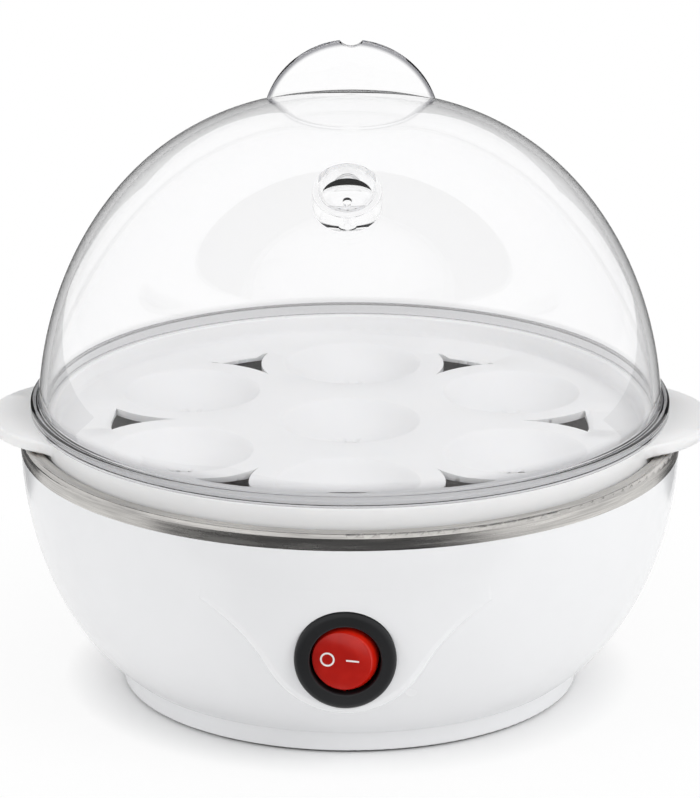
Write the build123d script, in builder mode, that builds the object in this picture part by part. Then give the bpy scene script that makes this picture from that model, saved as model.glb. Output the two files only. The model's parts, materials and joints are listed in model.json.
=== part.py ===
from build123d import *
import os
from math import asin, atan, cos, degrees, radians, sin, sqrt, tan

os.makedirs("parts", exist_ok=True)

# An electric egg cooker, in millimetres. The origin is at the middle of its feet, Z is up
# and the front is toward -Y. The lid, the tray and the switch's rocker are the pieces that move.

# General clearances
slide_gap = 0.3
seat_gap = 0.1
part_gap = 0.2

# Bowl: its outside is part of an ellipse turned about Z
bowl_radius = 82.0
bowl_widest_z = 64.2
bowl_curve_width = 43.8
bowl_curve_depth = 65.5
bowl_wall = 2.4

# Foot ring, bottom cover and feet
foot_radius = 57.0
foot_height = 5.7
foot_wall = 2.4
foot_draft = 0.5
foot_edge_round = 0.5
feet_stand_proud = 0.6
cover_plate_thickness = 2.2
cover_opening_radius = 46.0
cover_lip_height = 2.0
cover_lip_thickness = 1.8
vent_count = 12
vent_pitch_radius = 26.0
vent_length = 16.0
vent_width = 2.6
foot_pad_radius = 4.5
foot_pad_pitch_radius = 49.0
foot_pad_stem_radius = 2.0
foot_pad_round = 0.8

# Screws, all of one thread size
screw_radius = 1.5
screw_head_radius = 2.8
screw_head_height = 1.8
screw_slot_width = 0.9
screw_slot_depth = 0.8

# Cover bosses on the bowl's floor
cover_boss_count = 4
cover_boss_radius = 3.6
cover_boss_height = 9.0
cover_boss_pitch_radius = 51.0
cover_screw_length = 9.0

# Steel band round the rim
band_bottom_z = 61.0
band_top_z = 65.0
band_thickness = 0.6
band_lip_radius = 78.0
band_outer_roll = 1.0
band_inner_roll = 0.5

# Water pan
pan_thickness = 0.6
pan_flange_z = 63.2
pan_top_radius = 76.3
pan_floor_radius = 73.5
pan_floor_z = 44.0
pan_floor_round = 9.0
pan_flange_round = 0.7
rim_wall = 2.4
ledge_depth = 1.6

# Heat spreader and heater
spreader_radius = 47.0
spreader_thickness = 4.0
spreader_round = 0.6
heater_tube_radius = 3.2
heater_ring_radius = 33.0
heater_groove_depth = 1.6
heater_gap_angle = 50.0
heater_leg_bend = 7.0
heater_leg_length = 3.4
pin_radius = 1.2
pin_length = 9.0
bead_radius = 2.6
bead_length = 3.0

# Lugs, rivets and pillars that carry the pan
lug_count = 4
lug_width = 9.0
lug_thickness = 1.2
lug_inner_radius = 41.0
lug_collar_height = 1.5
lug_collar_wall = 1.2
rivet_radius = 1.3
rivet_head_radius = 2.6
rivet_head_height = 1.0
rivet_depth = 2.5
rivet_pitch_radius = 43.5
pillar_pitch_radius = 54.0
pillar_radius = 4.4
pillar_seat_depth = 6.0
pan_screw_length = 9.5

# Snap-disc thermostat
thermostat_cap_radius = 7.8
thermostat_cap_height = 3.0
thermostat_flange_length = 30.0
thermostat_flange_width = 8.0
thermostat_flange_thickness = 0.7
thermostat_hole_spacing = 22.0
thermostat_body_radius = 8.2
thermostat_body_height = 7.0
blade_width = 6.3
blade_thickness = 0.8
blade_length = 8.0
blade_spacing = 10.0

# Thermal fuse and its clip
fuse_radius = 2.0
fuse_length = 11.0
fuse_lead_radius = 0.6
fuse_lead_length = 4.5
fuse_x = -20.0
fuse_y = -2.0
clip_thickness = 0.6
clip_width = 5.0
clip_foot_length = 7.0
small_screw_length = 3.4

# Earth tab
earth_tab_x = 19.0
earth_tab_y = -6.0
earth_tab_width = 6.3
earth_tab_thickness = 0.8
earth_tab_drop = 10.0

# Switch pad on the bowl's front
pad_radius = 79.8
pad_bottom_z = 18.6
pad_arc_radius = 21.6
pad_arc_turn = 60.0
pad_flare_radius = 40.0
pad_flare_turn = 33.0
pad_top_z = 52.0
pad_straight_top_z = 25.5
pad_blend_radius = 254.0
pad_edge_round = 2.4
pad_root_depth = 22.0

# Round rocker switch
switch_z = 33.0
switch_face_y = -79.2
bezel_radius = 12.2
bezel_thickness = 1.9
bezel_round = 1.3
bezel_mouth_round = 0.5
switch_body_radius = 10.0
switch_body_depth = 13.5
switch_mouth_radius = 8.5
switch_cavity_depth = 8.5
switch_wing_reach = 1.2
switch_wing_width = 5.0
switch_wing_start = 3.2
switch_wing_length = 5.0
terminal_width = 4.8
terminal_thickness = 0.8
terminal_length = 8.5
terminal_seat = 2.0
terminal_spacing = 5.5
lamp_radius = 1.9
lamp_length = 9.0
lamp_pocket_depth = 4.4

# Rocker
rocker_radius = 7.5
rocker_face_recess = 1.0
rocker_face_height = 3.0
rocker_back_depth = 3.0
rocker_dish_angle = 8.0
rocker_tilt = 12.0
rocker_wall = 1.5
rocker_edge_round = 0.4
rocker_pin_radius = 1.1
rocker_pin_length = 1.5

# Cord gland in the back wall
gland_z = 24.0
gland_bore_radius = 3.3
gland_neck_radius = 5.6
gland_flange_radius = 7.6
gland_flange_thickness = 2.2
gland_lip_thickness = 2.0
gland_nose_length = 4.0
gland_nose_radius = 5.0

# Wires
wire_radius = 1.1
wire_bend_share = 0.45
cap_radius = 3.4
cap_wall = 0.8
cap_length = 14.0
cap_x = -30.0
cap_mouth_y = -18.0

# Egg tray
tray_disc_z = 66.5
tray_wall = 1.8
tray_outer_radius = 77.6
tray_shelf_z = 70.3
tray_shelf_thickness = 1.6
tray_rib_radius = 74.9
tray_rib_wall = 1.6
tray_rib_height = 1.0
tray_skirt_z = 61.5
tray_edge_round = 0.7
tray_corner_round = 1.4
seat_count = 6
seat_pitch_radius = 47.0
seat_mouth_radius = 17.4
seat_depth = 8.0
seat_wall = 1.6
seat_hole_radius = 5.0
seat_edge_round = 0.8
opening_outer_radius = 61.0
opening_seat_margin = 7.2
opening_inner_radius = 46.5
opening_slope_depth = 0.9
opening_slope_width = 1.5
opening_corner_round = 0.7

# Tray ears
ear_radius = 27.9
ear_centre_x = 62.0
ear_thickness = 3.1
ear_root_round = 9.0
ear_edge_round = 0.7

# Lid
lid_curve_centre = 13.8
lid_curve_width = 63.8
lid_curve_z = 67.8
lid_curve_depth = 78.5
lid_wall = 2.0
lid_rim_radius = 79.45
lid_rim_thickness = 1.3
lid_rim_round = 0.5
lid_flare_round = 1.0

# Fin handle on the lid
fin_radius = 21.8
fin_centre_z = 142.9
fin_thickness = 2.6
fin_edge_round = 0.5
notch_width = 5.7
notch_depth = 1.5

# Vent boss on the lid's front slope
boss_distance = 44.3
boss_radius = 8.3
boss_height = 3.2
boss_root = 1.4
boss_edge_round = 0.5
funnel_radius = 6.8
funnel_depth = 3.6
steam_hole_radius = 1.1


def save(piece, name):
    """Label a finished piece and write it under its own name."""
    piece.part.label = name
    export_step(piece.part, f"parts/{name}.step")


def ellipse_angle(z, middle_z, half_height):
    """Angle on an ellipse, in degrees, of the point at height z."""
    return degrees(asin((z - middle_z) / half_height))


def ellipse_radius(z, centre, width, middle_z, half_height):
    """Distance from the Z axis of the point at height z."""
    return centre + width * sqrt(1 - ((z - middle_z) / half_height) ** 2)


bowl_centre = bowl_radius - bowl_curve_width
bowl_inner_width = bowl_curve_width - bowl_wall
bowl_inner_depth = bowl_curve_depth - bowl_wall


def bowl_outside(z):
    return ellipse_radius(z, bowl_centre, bowl_curve_width, bowl_widest_z, bowl_curve_depth)


def bowl_inside(z):
    return ellipse_radius(z, bowl_centre, bowl_inner_width, bowl_widest_z, bowl_inner_depth)


def bowl_arc(width, half_height, low_z, high_z):
    """An upright stretch of the bowl's curve, drawn from low_z up to high_z."""
    start = ellipse_angle(low_z, bowl_widest_z, half_height)
    turn = ellipse_angle(high_z, bowl_widest_z, half_height) - start
    return EllipticalCenterArc(
        (bowl_centre, bowl_widest_z), width, half_height, start, arc_size=turn
    )


# Heights that several pieces share
shell_floor_z = foot_height + bowl_wall
rim_radius = bowl_radius - band_thickness
rim_inner_radius = rim_radius - rim_wall
rim_top_z = band_top_z - band_thickness
ledge_inner_radius = pan_top_radius + pan_thickness + part_gap
pan_flange_top_z = pan_flange_z + pan_thickness
spreader_bottom_z = pan_floor_z - spreader_thickness
lug_bottom_z = spreader_bottom_z - lug_thickness
screw_hole_radius = screw_radius + seat_gap
head_hole_radius = screw_head_radius + part_gap
pillar_seat_z = lug_bottom_z - pillar_seat_depth
plate_bottom_z = foot_height - cover_plate_thickness
boss_top_z = shell_floor_z + cover_boss_height
switch_hole_radius = switch_body_radius + part_gap
front = Plane.XZ

# Switch pad: a bell outline, seen from the front, on a surface that runs on from the bowl
pad_arc_centre_z = pad_bottom_z + pad_arc_radius


def pad_outline(inset):
    """Face of the bell outline drawn in by inset."""
    arc_radius = pad_arc_radius - inset
    flare_radius = pad_flare_radius + inset
    with BuildSketch(front) as outline:
        with BuildLine():
            low = (0, pad_arc_centre_z - arc_radius)
            right = JernArc(low, (1, 0), arc_radius, pad_arc_turn)
            flare = JernArc(right @ 1, right % 1, flare_radius, -pad_flare_turn)
            shoulder = Line(flare @ 1, ((flare @ 1).X, pad_top_z - inset))
            Line(shoulder @ 1, (0, pad_top_z - inset))
            Line((0, pad_top_z - inset), low)
        make_face()
        mirror(about=Plane.YZ)
    return outline.sketch


def pad_surface(inset):
    """Solid of revolution that bounds the pad outside."""
    with BuildPart() as surface:
        with BuildSketch(front):
            with BuildLine():
                side = pad_radius - inset
                rise = pad_top_z - pad_straight_top_z
                top_side = side + pad_blend_radius - sqrt(pad_blend_radius**2 - rise**2)
                straight = Line((side, pad_bottom_z - pad_arc_radius), (side, pad_straight_top_z))
                Line((0, pad_bottom_z - pad_arc_radius), straight @ 0)
                RadiusArc(straight @ 1, (top_side, pad_top_z), pad_blend_radius)
                Line((top_side, pad_top_z), (0, pad_top_z))
                Line((0, pad_top_z), (0, pad_bottom_z - pad_arc_radius))
            make_face()
        revolve(axis=Axis.Z)
    return surface.part


with BuildPart() as bowl_cavity:
    with BuildSketch(front):
        with BuildLine():
            cavity_top_z = bowl_widest_z
            cavity_side = bowl_arc(bowl_inner_width, bowl_inner_depth, shell_floor_z, cavity_top_z)
            Polyline(cavity_side @ 1, (0, cavity_top_z), (0, shell_floor_z), cavity_side @ 0)
        make_face()
    revolve(axis=Axis.Z)

with BuildPart() as switch_pad:
    extrude(pad_outline(0), amount=bowl_radius + bowl_wall)
    split(bisect_by=Plane.XZ.offset(pad_radius - pad_root_depth), keep=Keep.TOP)
    add(pad_surface(0), mode=Mode.INTERSECT)
    pad_edges = [
        edge
        for edge in switch_pad.edges().filter_by(Axis.Y, reverse=True)
        if edge.center().Y < pad_root_depth - pad_radius - bowl_wall
        and edge.center().Z < pad_top_z - part_gap
        and abs(edge.center().X) > part_gap
    ]
    fillet(pad_edges, radius=pad_edge_round)
    add(bowl_cavity.part, mode=Mode.SUBTRACT)

with BuildPart() as pad_hollow:
    extrude(pad_outline(bowl_wall), amount=bowl_radius + bowl_wall)
    add(pad_surface(bowl_wall), mode=Mode.INTERSECT)

# Back wall where the cord leaves: the gland stands square to the bowl's surface
gland_slope = atan(
    bowl_curve_width
    * (bowl_widest_z - gland_z)
    / (bowl_curve_depth * sqrt(bowl_curve_depth**2 - (bowl_widest_z - gland_z) ** 2))
)
gland_plane = Plane(
    origin=(0, bowl_outside(gland_z), gland_z),
    x_dir=(1, 0, 0),
    z_dir=(0, cos(gland_slope), -sin(gland_slope)),
)

# Base shell: bowl, switch pad, pan pillars and cover bosses
with BuildPart() as base_shell:
    with BuildSketch(front):
        with BuildLine():
            outside = bowl_arc(bowl_curve_width, bowl_curve_depth, foot_height, band_bottom_z)
            inside_top_z = band_bottom_z - bowl_wall
            inside = bowl_arc(bowl_inner_width, bowl_inner_depth, shell_floor_z, inside_top_z)
            Polyline(
                outside @ 1,
                (rim_radius, band_bottom_z),
                (rim_radius, rim_top_z),
                (rim_inner_radius, rim_top_z),
                (rim_inner_radius, pan_flange_z),
                (ledge_inner_radius, pan_flange_z),
                (ledge_inner_radius, pan_flange_z - ledge_depth),
                inside @ 1,
            )
            Polyline(
                inside @ 0,
                (cover_opening_radius, shell_floor_z),
                (cover_opening_radius, foot_height),
                outside @ 0,
            )
        make_face()
    revolve(axis=Axis.Z)
    add(switch_pad.part)
    add(pad_hollow.part, mode=Mode.SUBTRACT)
    boss_base = Plane.XY.offset(shell_floor_z - bowl_wall / 2)
    with BuildSketch(boss_base):
        with PolarLocations(pillar_pitch_radius, lug_count, start_angle=45):
            Circle(pillar_radius)
    extrude(amount=lug_bottom_z - shell_floor_z + bowl_wall / 2)
    with BuildSketch(boss_base):
        with PolarLocations(cover_boss_pitch_radius, cover_boss_count):
            Circle(cover_boss_radius)
    extrude(amount=cover_boss_height + bowl_wall / 2)
    with BuildSketch(Plane.XY.offset(foot_height)):
        with PolarLocations(pillar_pitch_radius, lug_count, start_angle=45):
            Circle(head_hole_radius)
    extrude(amount=pillar_seat_z - foot_height, mode=Mode.SUBTRACT)
    with BuildSketch(Plane.XY.offset(foot_height)):
        with PolarLocations(pillar_pitch_radius, lug_count, start_angle=45):
            Circle(screw_hole_radius)
    extrude(amount=lug_bottom_z - foot_height, mode=Mode.SUBTRACT)
    with BuildSketch(Plane.XY.offset(foot_height)):
        with PolarLocations(cover_boss_pitch_radius, cover_boss_count):
            Circle(screw_hole_radius)
    extrude(amount=boss_top_z - bowl_wall - foot_height, mode=Mode.SUBTRACT)
    with BuildSketch(front.offset(-switch_face_y)):
        with Locations((0, switch_z)):
            Circle(bezel_radius + part_gap)
    extrude(amount=bowl_wall * 2, mode=Mode.SUBTRACT)
    with BuildSketch(front.offset(-switch_face_y)):
        with Locations((0, switch_z)):
            Circle(switch_hole_radius)
    extrude(amount=-switch_body_depth, mode=Mode.SUBTRACT)
    with BuildSketch(gland_plane.offset(bowl_wall)):
        Circle(gland_neck_radius + seat_gap)
    extrude(amount=-bowl_wall * 4, mode=Mode.SUBTRACT)
save(base_shell, "base_shell")


def corners(sketch, *points):
    """The sketch's own corners nearest to the points."""
    return [sketch.vertices().sort_by_distance(point)[0] for point in points]


# Steel band: a skirt, a flat lip and a short turned-in edge that holds the pan's flange
with BuildPart() as trim_band:
    with BuildSketch(front) as band_section:
        lip_back_radius = band_lip_radius + band_thickness
        with BuildLine():
            Polyline(
                (bowl_radius, band_bottom_z),
                (bowl_radius, band_top_z),
                (band_lip_radius, band_top_z),
                (band_lip_radius, pan_flange_top_z),
                (lip_back_radius, pan_flange_top_z),
                (lip_back_radius, rim_top_z),
                (rim_radius, rim_top_z),
                (rim_radius, band_bottom_z),
                close=True,
            )
        make_face()
        fillet(corners(band_section, (bowl_radius, band_top_z)), radius=band_outer_roll)
        fillet(corners(band_section, (band_lip_radius, band_top_z)), radius=band_inner_roll)
    revolve(axis=Axis.Z)
save(trim_band, "trim_band")

# Water pan, of one sheet, whose flange lies on the bowl's ledge
with BuildPart() as heating_pan:
    with BuildSketch(front):
        with BuildLine():
            FilletPolyline(
                (0, pan_floor_z),
                (pan_floor_radius, pan_floor_z),
                (pan_top_radius, pan_flange_z),
                (rim_inner_radius - part_gap, pan_flange_z),
                radius=[pan_floor_round, pan_flange_round],
            )
            offset(amount=pan_thickness, side=Side.LEFT)
        make_face()
    revolve(axis=Axis.Z)
save(heating_pan, "heating_pan")

# Places on the heat spreader's underside
heater_z = spreader_bottom_z - heater_tube_radius + heater_groove_depth
thermostat_screw_places = [(0, -thermostat_hole_spacing / 2), (0, thermostat_hole_spacing / 2)]
clip_inner_radius = fuse_radius + seat_gap
clip_outer_radius = clip_inner_radius + clip_thickness
clip_screw_place = (fuse_x + clip_outer_radius + clip_foot_length / 2, fuse_y)
earth_screw_place = (earth_tab_x, earth_tab_y)

# Heat spreader, with a groove for the heater
with BuildPart() as heat_spreader:
    spreader_base = Plane.XY.offset(spreader_bottom_z)
    with BuildSketch(spreader_base):
        Circle(spreader_radius)
    extrude(amount=spreader_thickness)
    fillet(heat_spreader.edges().sort_by(Axis.Z)[0], radius=spreader_round)
    with BuildSketch(front):
        with Locations((heater_ring_radius, heater_z)):
            Circle(heater_tube_radius + seat_gap)
    revolve(axis=Axis.Z, mode=Mode.SUBTRACT)
    with BuildSketch(spreader_base):
        with Locations(*thermostat_screw_places, clip_screw_place, earth_screw_place):
            Circle(screw_hole_radius)
    extrude(amount=small_screw_length, mode=Mode.SUBTRACT)
    with BuildSketch(spreader_base):
        with PolarLocations(rivet_pitch_radius, lug_count, start_angle=45):
            Circle(rivet_radius + seat_gap)
    extrude(amount=rivet_depth + seat_gap, mode=Mode.SUBTRACT)
save(heat_spreader, "heat_spreader")


def radial_plane(azimuth):
    """Upright plane through the Z axis, with its x out along the azimuth."""
    along = (cos(radians(azimuth)), sin(radians(azimuth)), 0)
    across = (sin(radians(azimuth)), -cos(radians(azimuth)), 0)
    return Plane(origin=(0, 0, 0), x_dir=along, z_dir=across)


# Heater: most of a ring, whose two ends turn down side by side
leg_azimuth = 90 - heater_gap_angle / 2
leg_plane = radial_plane(leg_azimuth)
bend_origin = leg_plane.from_local_coords((heater_ring_radius, heater_z - heater_leg_bend, 0))
leg_x = heater_ring_radius * cos(radians(leg_azimuth)) - heater_leg_bend * sin(radians(leg_azimuth))
leg_y = heater_ring_radius * sin(radians(leg_azimuth)) + heater_leg_bend * cos(radians(leg_azimuth))
leg_places = [(-leg_x, leg_y), (leg_x, leg_y)]
leg_top_z = heater_z - heater_leg_bend
leg_end_z = leg_top_z - heater_leg_length
pin_end_z = leg_end_z - pin_length
with BuildPart() as heating_element:
    with BuildSketch(radial_plane(180 - leg_azimuth)):
        with Locations((heater_ring_radius, heater_z)):
            Circle(heater_tube_radius)
    revolve(axis=Axis.Z, revolution_arc=360 - heater_gap_angle)
    with BuildSketch(leg_plane):
        with Locations((heater_ring_radius, heater_z)):
            Circle(heater_tube_radius)
    revolve(axis=Axis(bend_origin, leg_plane.x_dir * -1), revolution_arc=90)
    with BuildSketch(radial_plane(180 - leg_azimuth)):
        with Locations((heater_ring_radius, heater_z)):
            Circle(heater_tube_radius)
    far_plane = radial_plane(180 - leg_azimuth)
    far_origin = far_plane.from_local_coords((heater_ring_radius, heater_z - heater_leg_bend, 0))
    revolve(axis=Axis(far_origin, far_plane.x_dir), revolution_arc=90)
    with BuildSketch(Plane.XY.offset(leg_top_z)):
        with Locations(*leg_places):
            Circle(heater_tube_radius)
    extrude(amount=-heater_leg_length)
save(heating_element, "heating_element")

# Cold pins and the ceramic beads round them
with BuildPart() as element_pins:
    with BuildSketch(Plane.XY.offset(leg_end_z)):
        with Locations(*leg_places):
            Circle(pin_radius)
    extrude(amount=-pin_length)
save(element_pins, "element_pins")

with BuildPart() as element_beads:
    with BuildSketch(Plane.XY.offset(leg_end_z)):
        with Locations(*leg_places):
            Circle(bead_radius)
            Circle(pin_radius + seat_gap, mode=Mode.SUBTRACT)
    extrude(amount=-bead_length)
save(element_beads, "element_beads")

# Lugs between the spreader and the bowl's pillars
lug_outer_radius = pillar_pitch_radius + lug_width / 2
with BuildPart() as pan_lugs:
    with BuildSketch(Plane.XY.offset(lug_bottom_z)):
        with PolarLocations((lug_inner_radius + lug_outer_radius) / 2, lug_count, start_angle=45):
            SlotOverall(lug_outer_radius - lug_inner_radius, lug_width)
    extrude(amount=lug_thickness)
    with BuildSketch(Plane.XY.offset(spreader_bottom_z)):
        with PolarLocations(pillar_pitch_radius, lug_count, start_angle=45):
            Circle(screw_hole_radius + lug_collar_wall)
    extrude(amount=lug_collar_height)
    with BuildSketch(Plane.XY.offset(lug_bottom_z)):
        with PolarLocations(pillar_pitch_radius, lug_count, start_angle=45):
            Circle(screw_hole_radius)
        with PolarLocations(rivet_pitch_radius, lug_count, start_angle=45):
            Circle(rivet_radius + seat_gap)
    extrude(amount=lug_thickness + lug_collar_height, mode=Mode.SUBTRACT)
save(pan_lugs, "pan_lugs")

with BuildPart() as lug_rivets:
    with BuildSketch(Plane.XY.offset(lug_bottom_z)):
        with PolarLocations(rivet_pitch_radius, lug_count, start_angle=45):
            Circle(rivet_head_radius)
    extrude(amount=-rivet_head_height)
    with BuildSketch(Plane.XY.offset(lug_bottom_z)):
        with PolarLocations(rivet_pitch_radius, lug_count, start_angle=45):
            Circle(rivet_radius)
    extrude(amount=lug_thickness + rivet_depth)
save(lug_rivets, "lug_rivets")


def screws(places, seat_z, length):
    """Cross-head screws, heads down, whose heads bear on seat_z."""
    with BuildPart() as group:
        with BuildSketch(Plane.XY.offset(seat_z)):
            with Locations(*places):
                Circle(screw_head_radius)
        extrude(amount=-screw_head_height)
        with BuildSketch(Plane.XY.offset(seat_z)):
            with Locations(*places):
                Circle(screw_radius)
        extrude(amount=length)
        with BuildSketch(Plane.XY.offset(seat_z - screw_head_height)):
            with Locations(*places):
                Rectangle(screw_head_radius, screw_slot_width)
                Rectangle(screw_slot_width, screw_head_radius)
        extrude(amount=screw_slot_depth, mode=Mode.SUBTRACT)
    return group


def around(radius, count, start):
    """Evenly spaced places round the Z axis."""
    steps = [radians(start + 360 / count * step) for step in range(count)]
    return [(radius * cos(step), radius * sin(step)) for step in steps]


flange_seat_z = spreader_bottom_z - thermostat_flange_thickness
clip_seat_z = spreader_bottom_z - clip_thickness
tab_seat_z = spreader_bottom_z - earth_tab_thickness
save(screws(around(pillar_pitch_radius, lug_count, 45), pillar_seat_z, pan_screw_length), "pan_screws")
save(screws(thermostat_screw_places, flange_seat_z, small_screw_length), "thermostat_screws")
save(screws([clip_screw_place], clip_seat_z, small_screw_length), "fuse_clip_screw")
save(screws([earth_screw_place], tab_seat_z, small_screw_length), "earth_screw")
cover_screw_places = around(cover_boss_pitch_radius, cover_boss_count, 0)
save(screws(cover_screw_places, plate_bottom_z, cover_screw_length), "cover_screws")

# Snap-disc thermostat: metal cap with its flange, moulded body, two blades
thermostat_bottom_z = spreader_bottom_z - thermostat_cap_height - thermostat_body_height
with BuildPart() as thermostat_cap:
    with BuildSketch(Plane.XY.offset(spreader_bottom_z)):
        Circle(thermostat_cap_radius)
    extrude(amount=-thermostat_cap_height)
    with BuildSketch(Plane.XY.offset(spreader_bottom_z)):
        SlotOverall(thermostat_flange_length, thermostat_flange_width, rotation=90)
        with Locations(*thermostat_screw_places):
            Circle(screw_hole_radius, mode=Mode.SUBTRACT)
    extrude(amount=-thermostat_flange_thickness)
save(thermostat_cap, "thermostat_cap")

with BuildPart() as thermostat_body:
    with BuildSketch(Plane.XY.offset(thermostat_bottom_z)):
        Circle(thermostat_body_radius)
    extrude(amount=thermostat_body_height)
save(thermostat_body, "thermostat_body")

with BuildPart() as thermostat_blades:
    with BuildSketch(Plane.XY.offset(thermostat_bottom_z)):
        with GridLocations(blade_spacing, 0, 2, 1):
            Rectangle(blade_thickness, blade_width)
    extrude(amount=-blade_length)
save(thermostat_blades, "thermostat_blades")

# Thermal fuse, held against the spreader by a clip
fuse_z = spreader_bottom_z - clip_inner_radius
with BuildPart() as thermal_fuse:
    with BuildSketch(front.offset(-fuse_y)):
        with Locations((fuse_x, fuse_z)):
            Circle(fuse_radius)
    extrude(amount=fuse_length / 2, both=True)
    with BuildSketch(front.offset(-fuse_y)):
        with Locations((fuse_x, fuse_z)):
            Circle(fuse_lead_radius)
    extrude(amount=fuse_length / 2 + fuse_lead_length, both=True)
save(thermal_fuse, "thermal_fuse")

with BuildPart() as fuse_clip:
    with BuildSketch(front.offset(-fuse_y)):
        with Locations((fuse_x, fuse_z)):
            Circle(clip_outer_radius)
        with Locations((fuse_x, spreader_bottom_z)):
            Rectangle(clip_outer_radius * 2, clip_inner_radius, align=(Align.CENTER, Align.MAX))
        with Locations((fuse_x, spreader_bottom_z)):
            foot_reach = clip_outer_radius + clip_foot_length
            Rectangle(foot_reach, clip_thickness, align=(Align.MIN, Align.MAX))
        with Locations((fuse_x, fuse_z)):
            Circle(clip_inner_radius, mode=Mode.SUBTRACT)
        with Locations((fuse_x, spreader_bottom_z)):
            Rectangle(
                clip_inner_radius * 2, clip_inner_radius, align=(Align.CENTER, Align.MAX), mode=Mode.SUBTRACT
            )
        with Locations((fuse_x, spreader_bottom_z)):
            Rectangle(
                clip_outer_radius * 2, clip_outer_radius, align=(Align.CENTER, Align.MIN), mode=Mode.SUBTRACT
            )
    extrude(amount=clip_width / 2, both=True)
    with BuildSketch(spreader_base):
        with Locations(clip_screw_place):
            Circle(screw_hole_radius)
    extrude(amount=-clip_thickness, mode=Mode.SUBTRACT)
save(fuse_clip, "fuse_clip")

# Earth tab: a flat foot and a blade turned down
with BuildPart() as earth_tab:
    tab_reach = earth_tab_width / 2 + earth_tab_thickness
    with BuildSketch(spreader_base):
        with Locations((earth_tab_x + earth_tab_thickness / 2, earth_tab_y)):
            Rectangle(earth_tab_width + earth_tab_thickness, earth_tab_width)
        with Locations(earth_screw_place):
            Circle(screw_hole_radius, mode=Mode.SUBTRACT)
    extrude(amount=-earth_tab_thickness)
    with BuildSketch(spreader_base):
        with Locations((earth_tab_x + tab_reach - earth_tab_thickness / 2, earth_tab_y)):
            Rectangle(earth_tab_thickness, earth_tab_width)
    extrude(amount=-earth_tab_drop)
save(earth_tab, "earth_tab")

# Bottom cover: foot ring, vented plate and the lip that centres it in the bowl's floor
with BuildPart() as bottom_cover:
    with BuildSketch(front) as cover_section:
        with BuildLine():
            ring_inner_radius = foot_radius - foot_wall
            lip_radius = cover_opening_radius - part_gap
            lip_inner_radius = lip_radius - cover_lip_thickness
            Polyline(
                (0, plate_bottom_z),
                (ring_inner_radius, plate_bottom_z),
                (ring_inner_radius, feet_stand_proud),
                (foot_radius, feet_stand_proud),
                (foot_radius + foot_draft, foot_height),
                (lip_radius, foot_height),
                (lip_radius, foot_height + cover_lip_height),
                (lip_inner_radius, foot_height + cover_lip_height),
                (lip_inner_radius, foot_height),
                (0, foot_height),
                close=True,
            )
        make_face()
        fillet(corners(cover_section, (foot_radius, feet_stand_proud)), radius=foot_edge_round)
    revolve(axis=Axis.Z)
    with BuildSketch(Plane.XY.offset(plate_bottom_z)):
        with PolarLocations(vent_pitch_radius, vent_count, start_angle=180 / vent_count):
            SlotOverall(vent_length, vent_width)
        with PolarLocations(cover_boss_pitch_radius, cover_boss_count):
            Circle(screw_hole_radius)
        with PolarLocations(foot_pad_pitch_radius, cover_boss_count, start_angle=45):
            Circle(foot_pad_stem_radius + seat_gap)
    extrude(amount=cover_plate_thickness, mode=Mode.SUBTRACT)
save(bottom_cover, "bottom_cover")

# Rubber feet, each pushed into the cover plate by its stem
with BuildPart() as rubber_feet:
    with BuildSketch(Plane.XY):
        with PolarLocations(foot_pad_pitch_radius, cover_boss_count, start_angle=45):
            Circle(foot_pad_radius)
    extrude(amount=plate_bottom_z)
    fillet(rubber_feet.edges().group_by(Axis.Z)[0], radius=foot_pad_round)
    with BuildSketch(Plane.XY.offset(plate_bottom_z)):
        with PolarLocations(foot_pad_pitch_radius, cover_boss_count, start_angle=45):
            Circle(foot_pad_stem_radius)
    extrude(amount=cover_plate_thickness - seat_gap)
save(rubber_feet, "rubber_feet")

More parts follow.
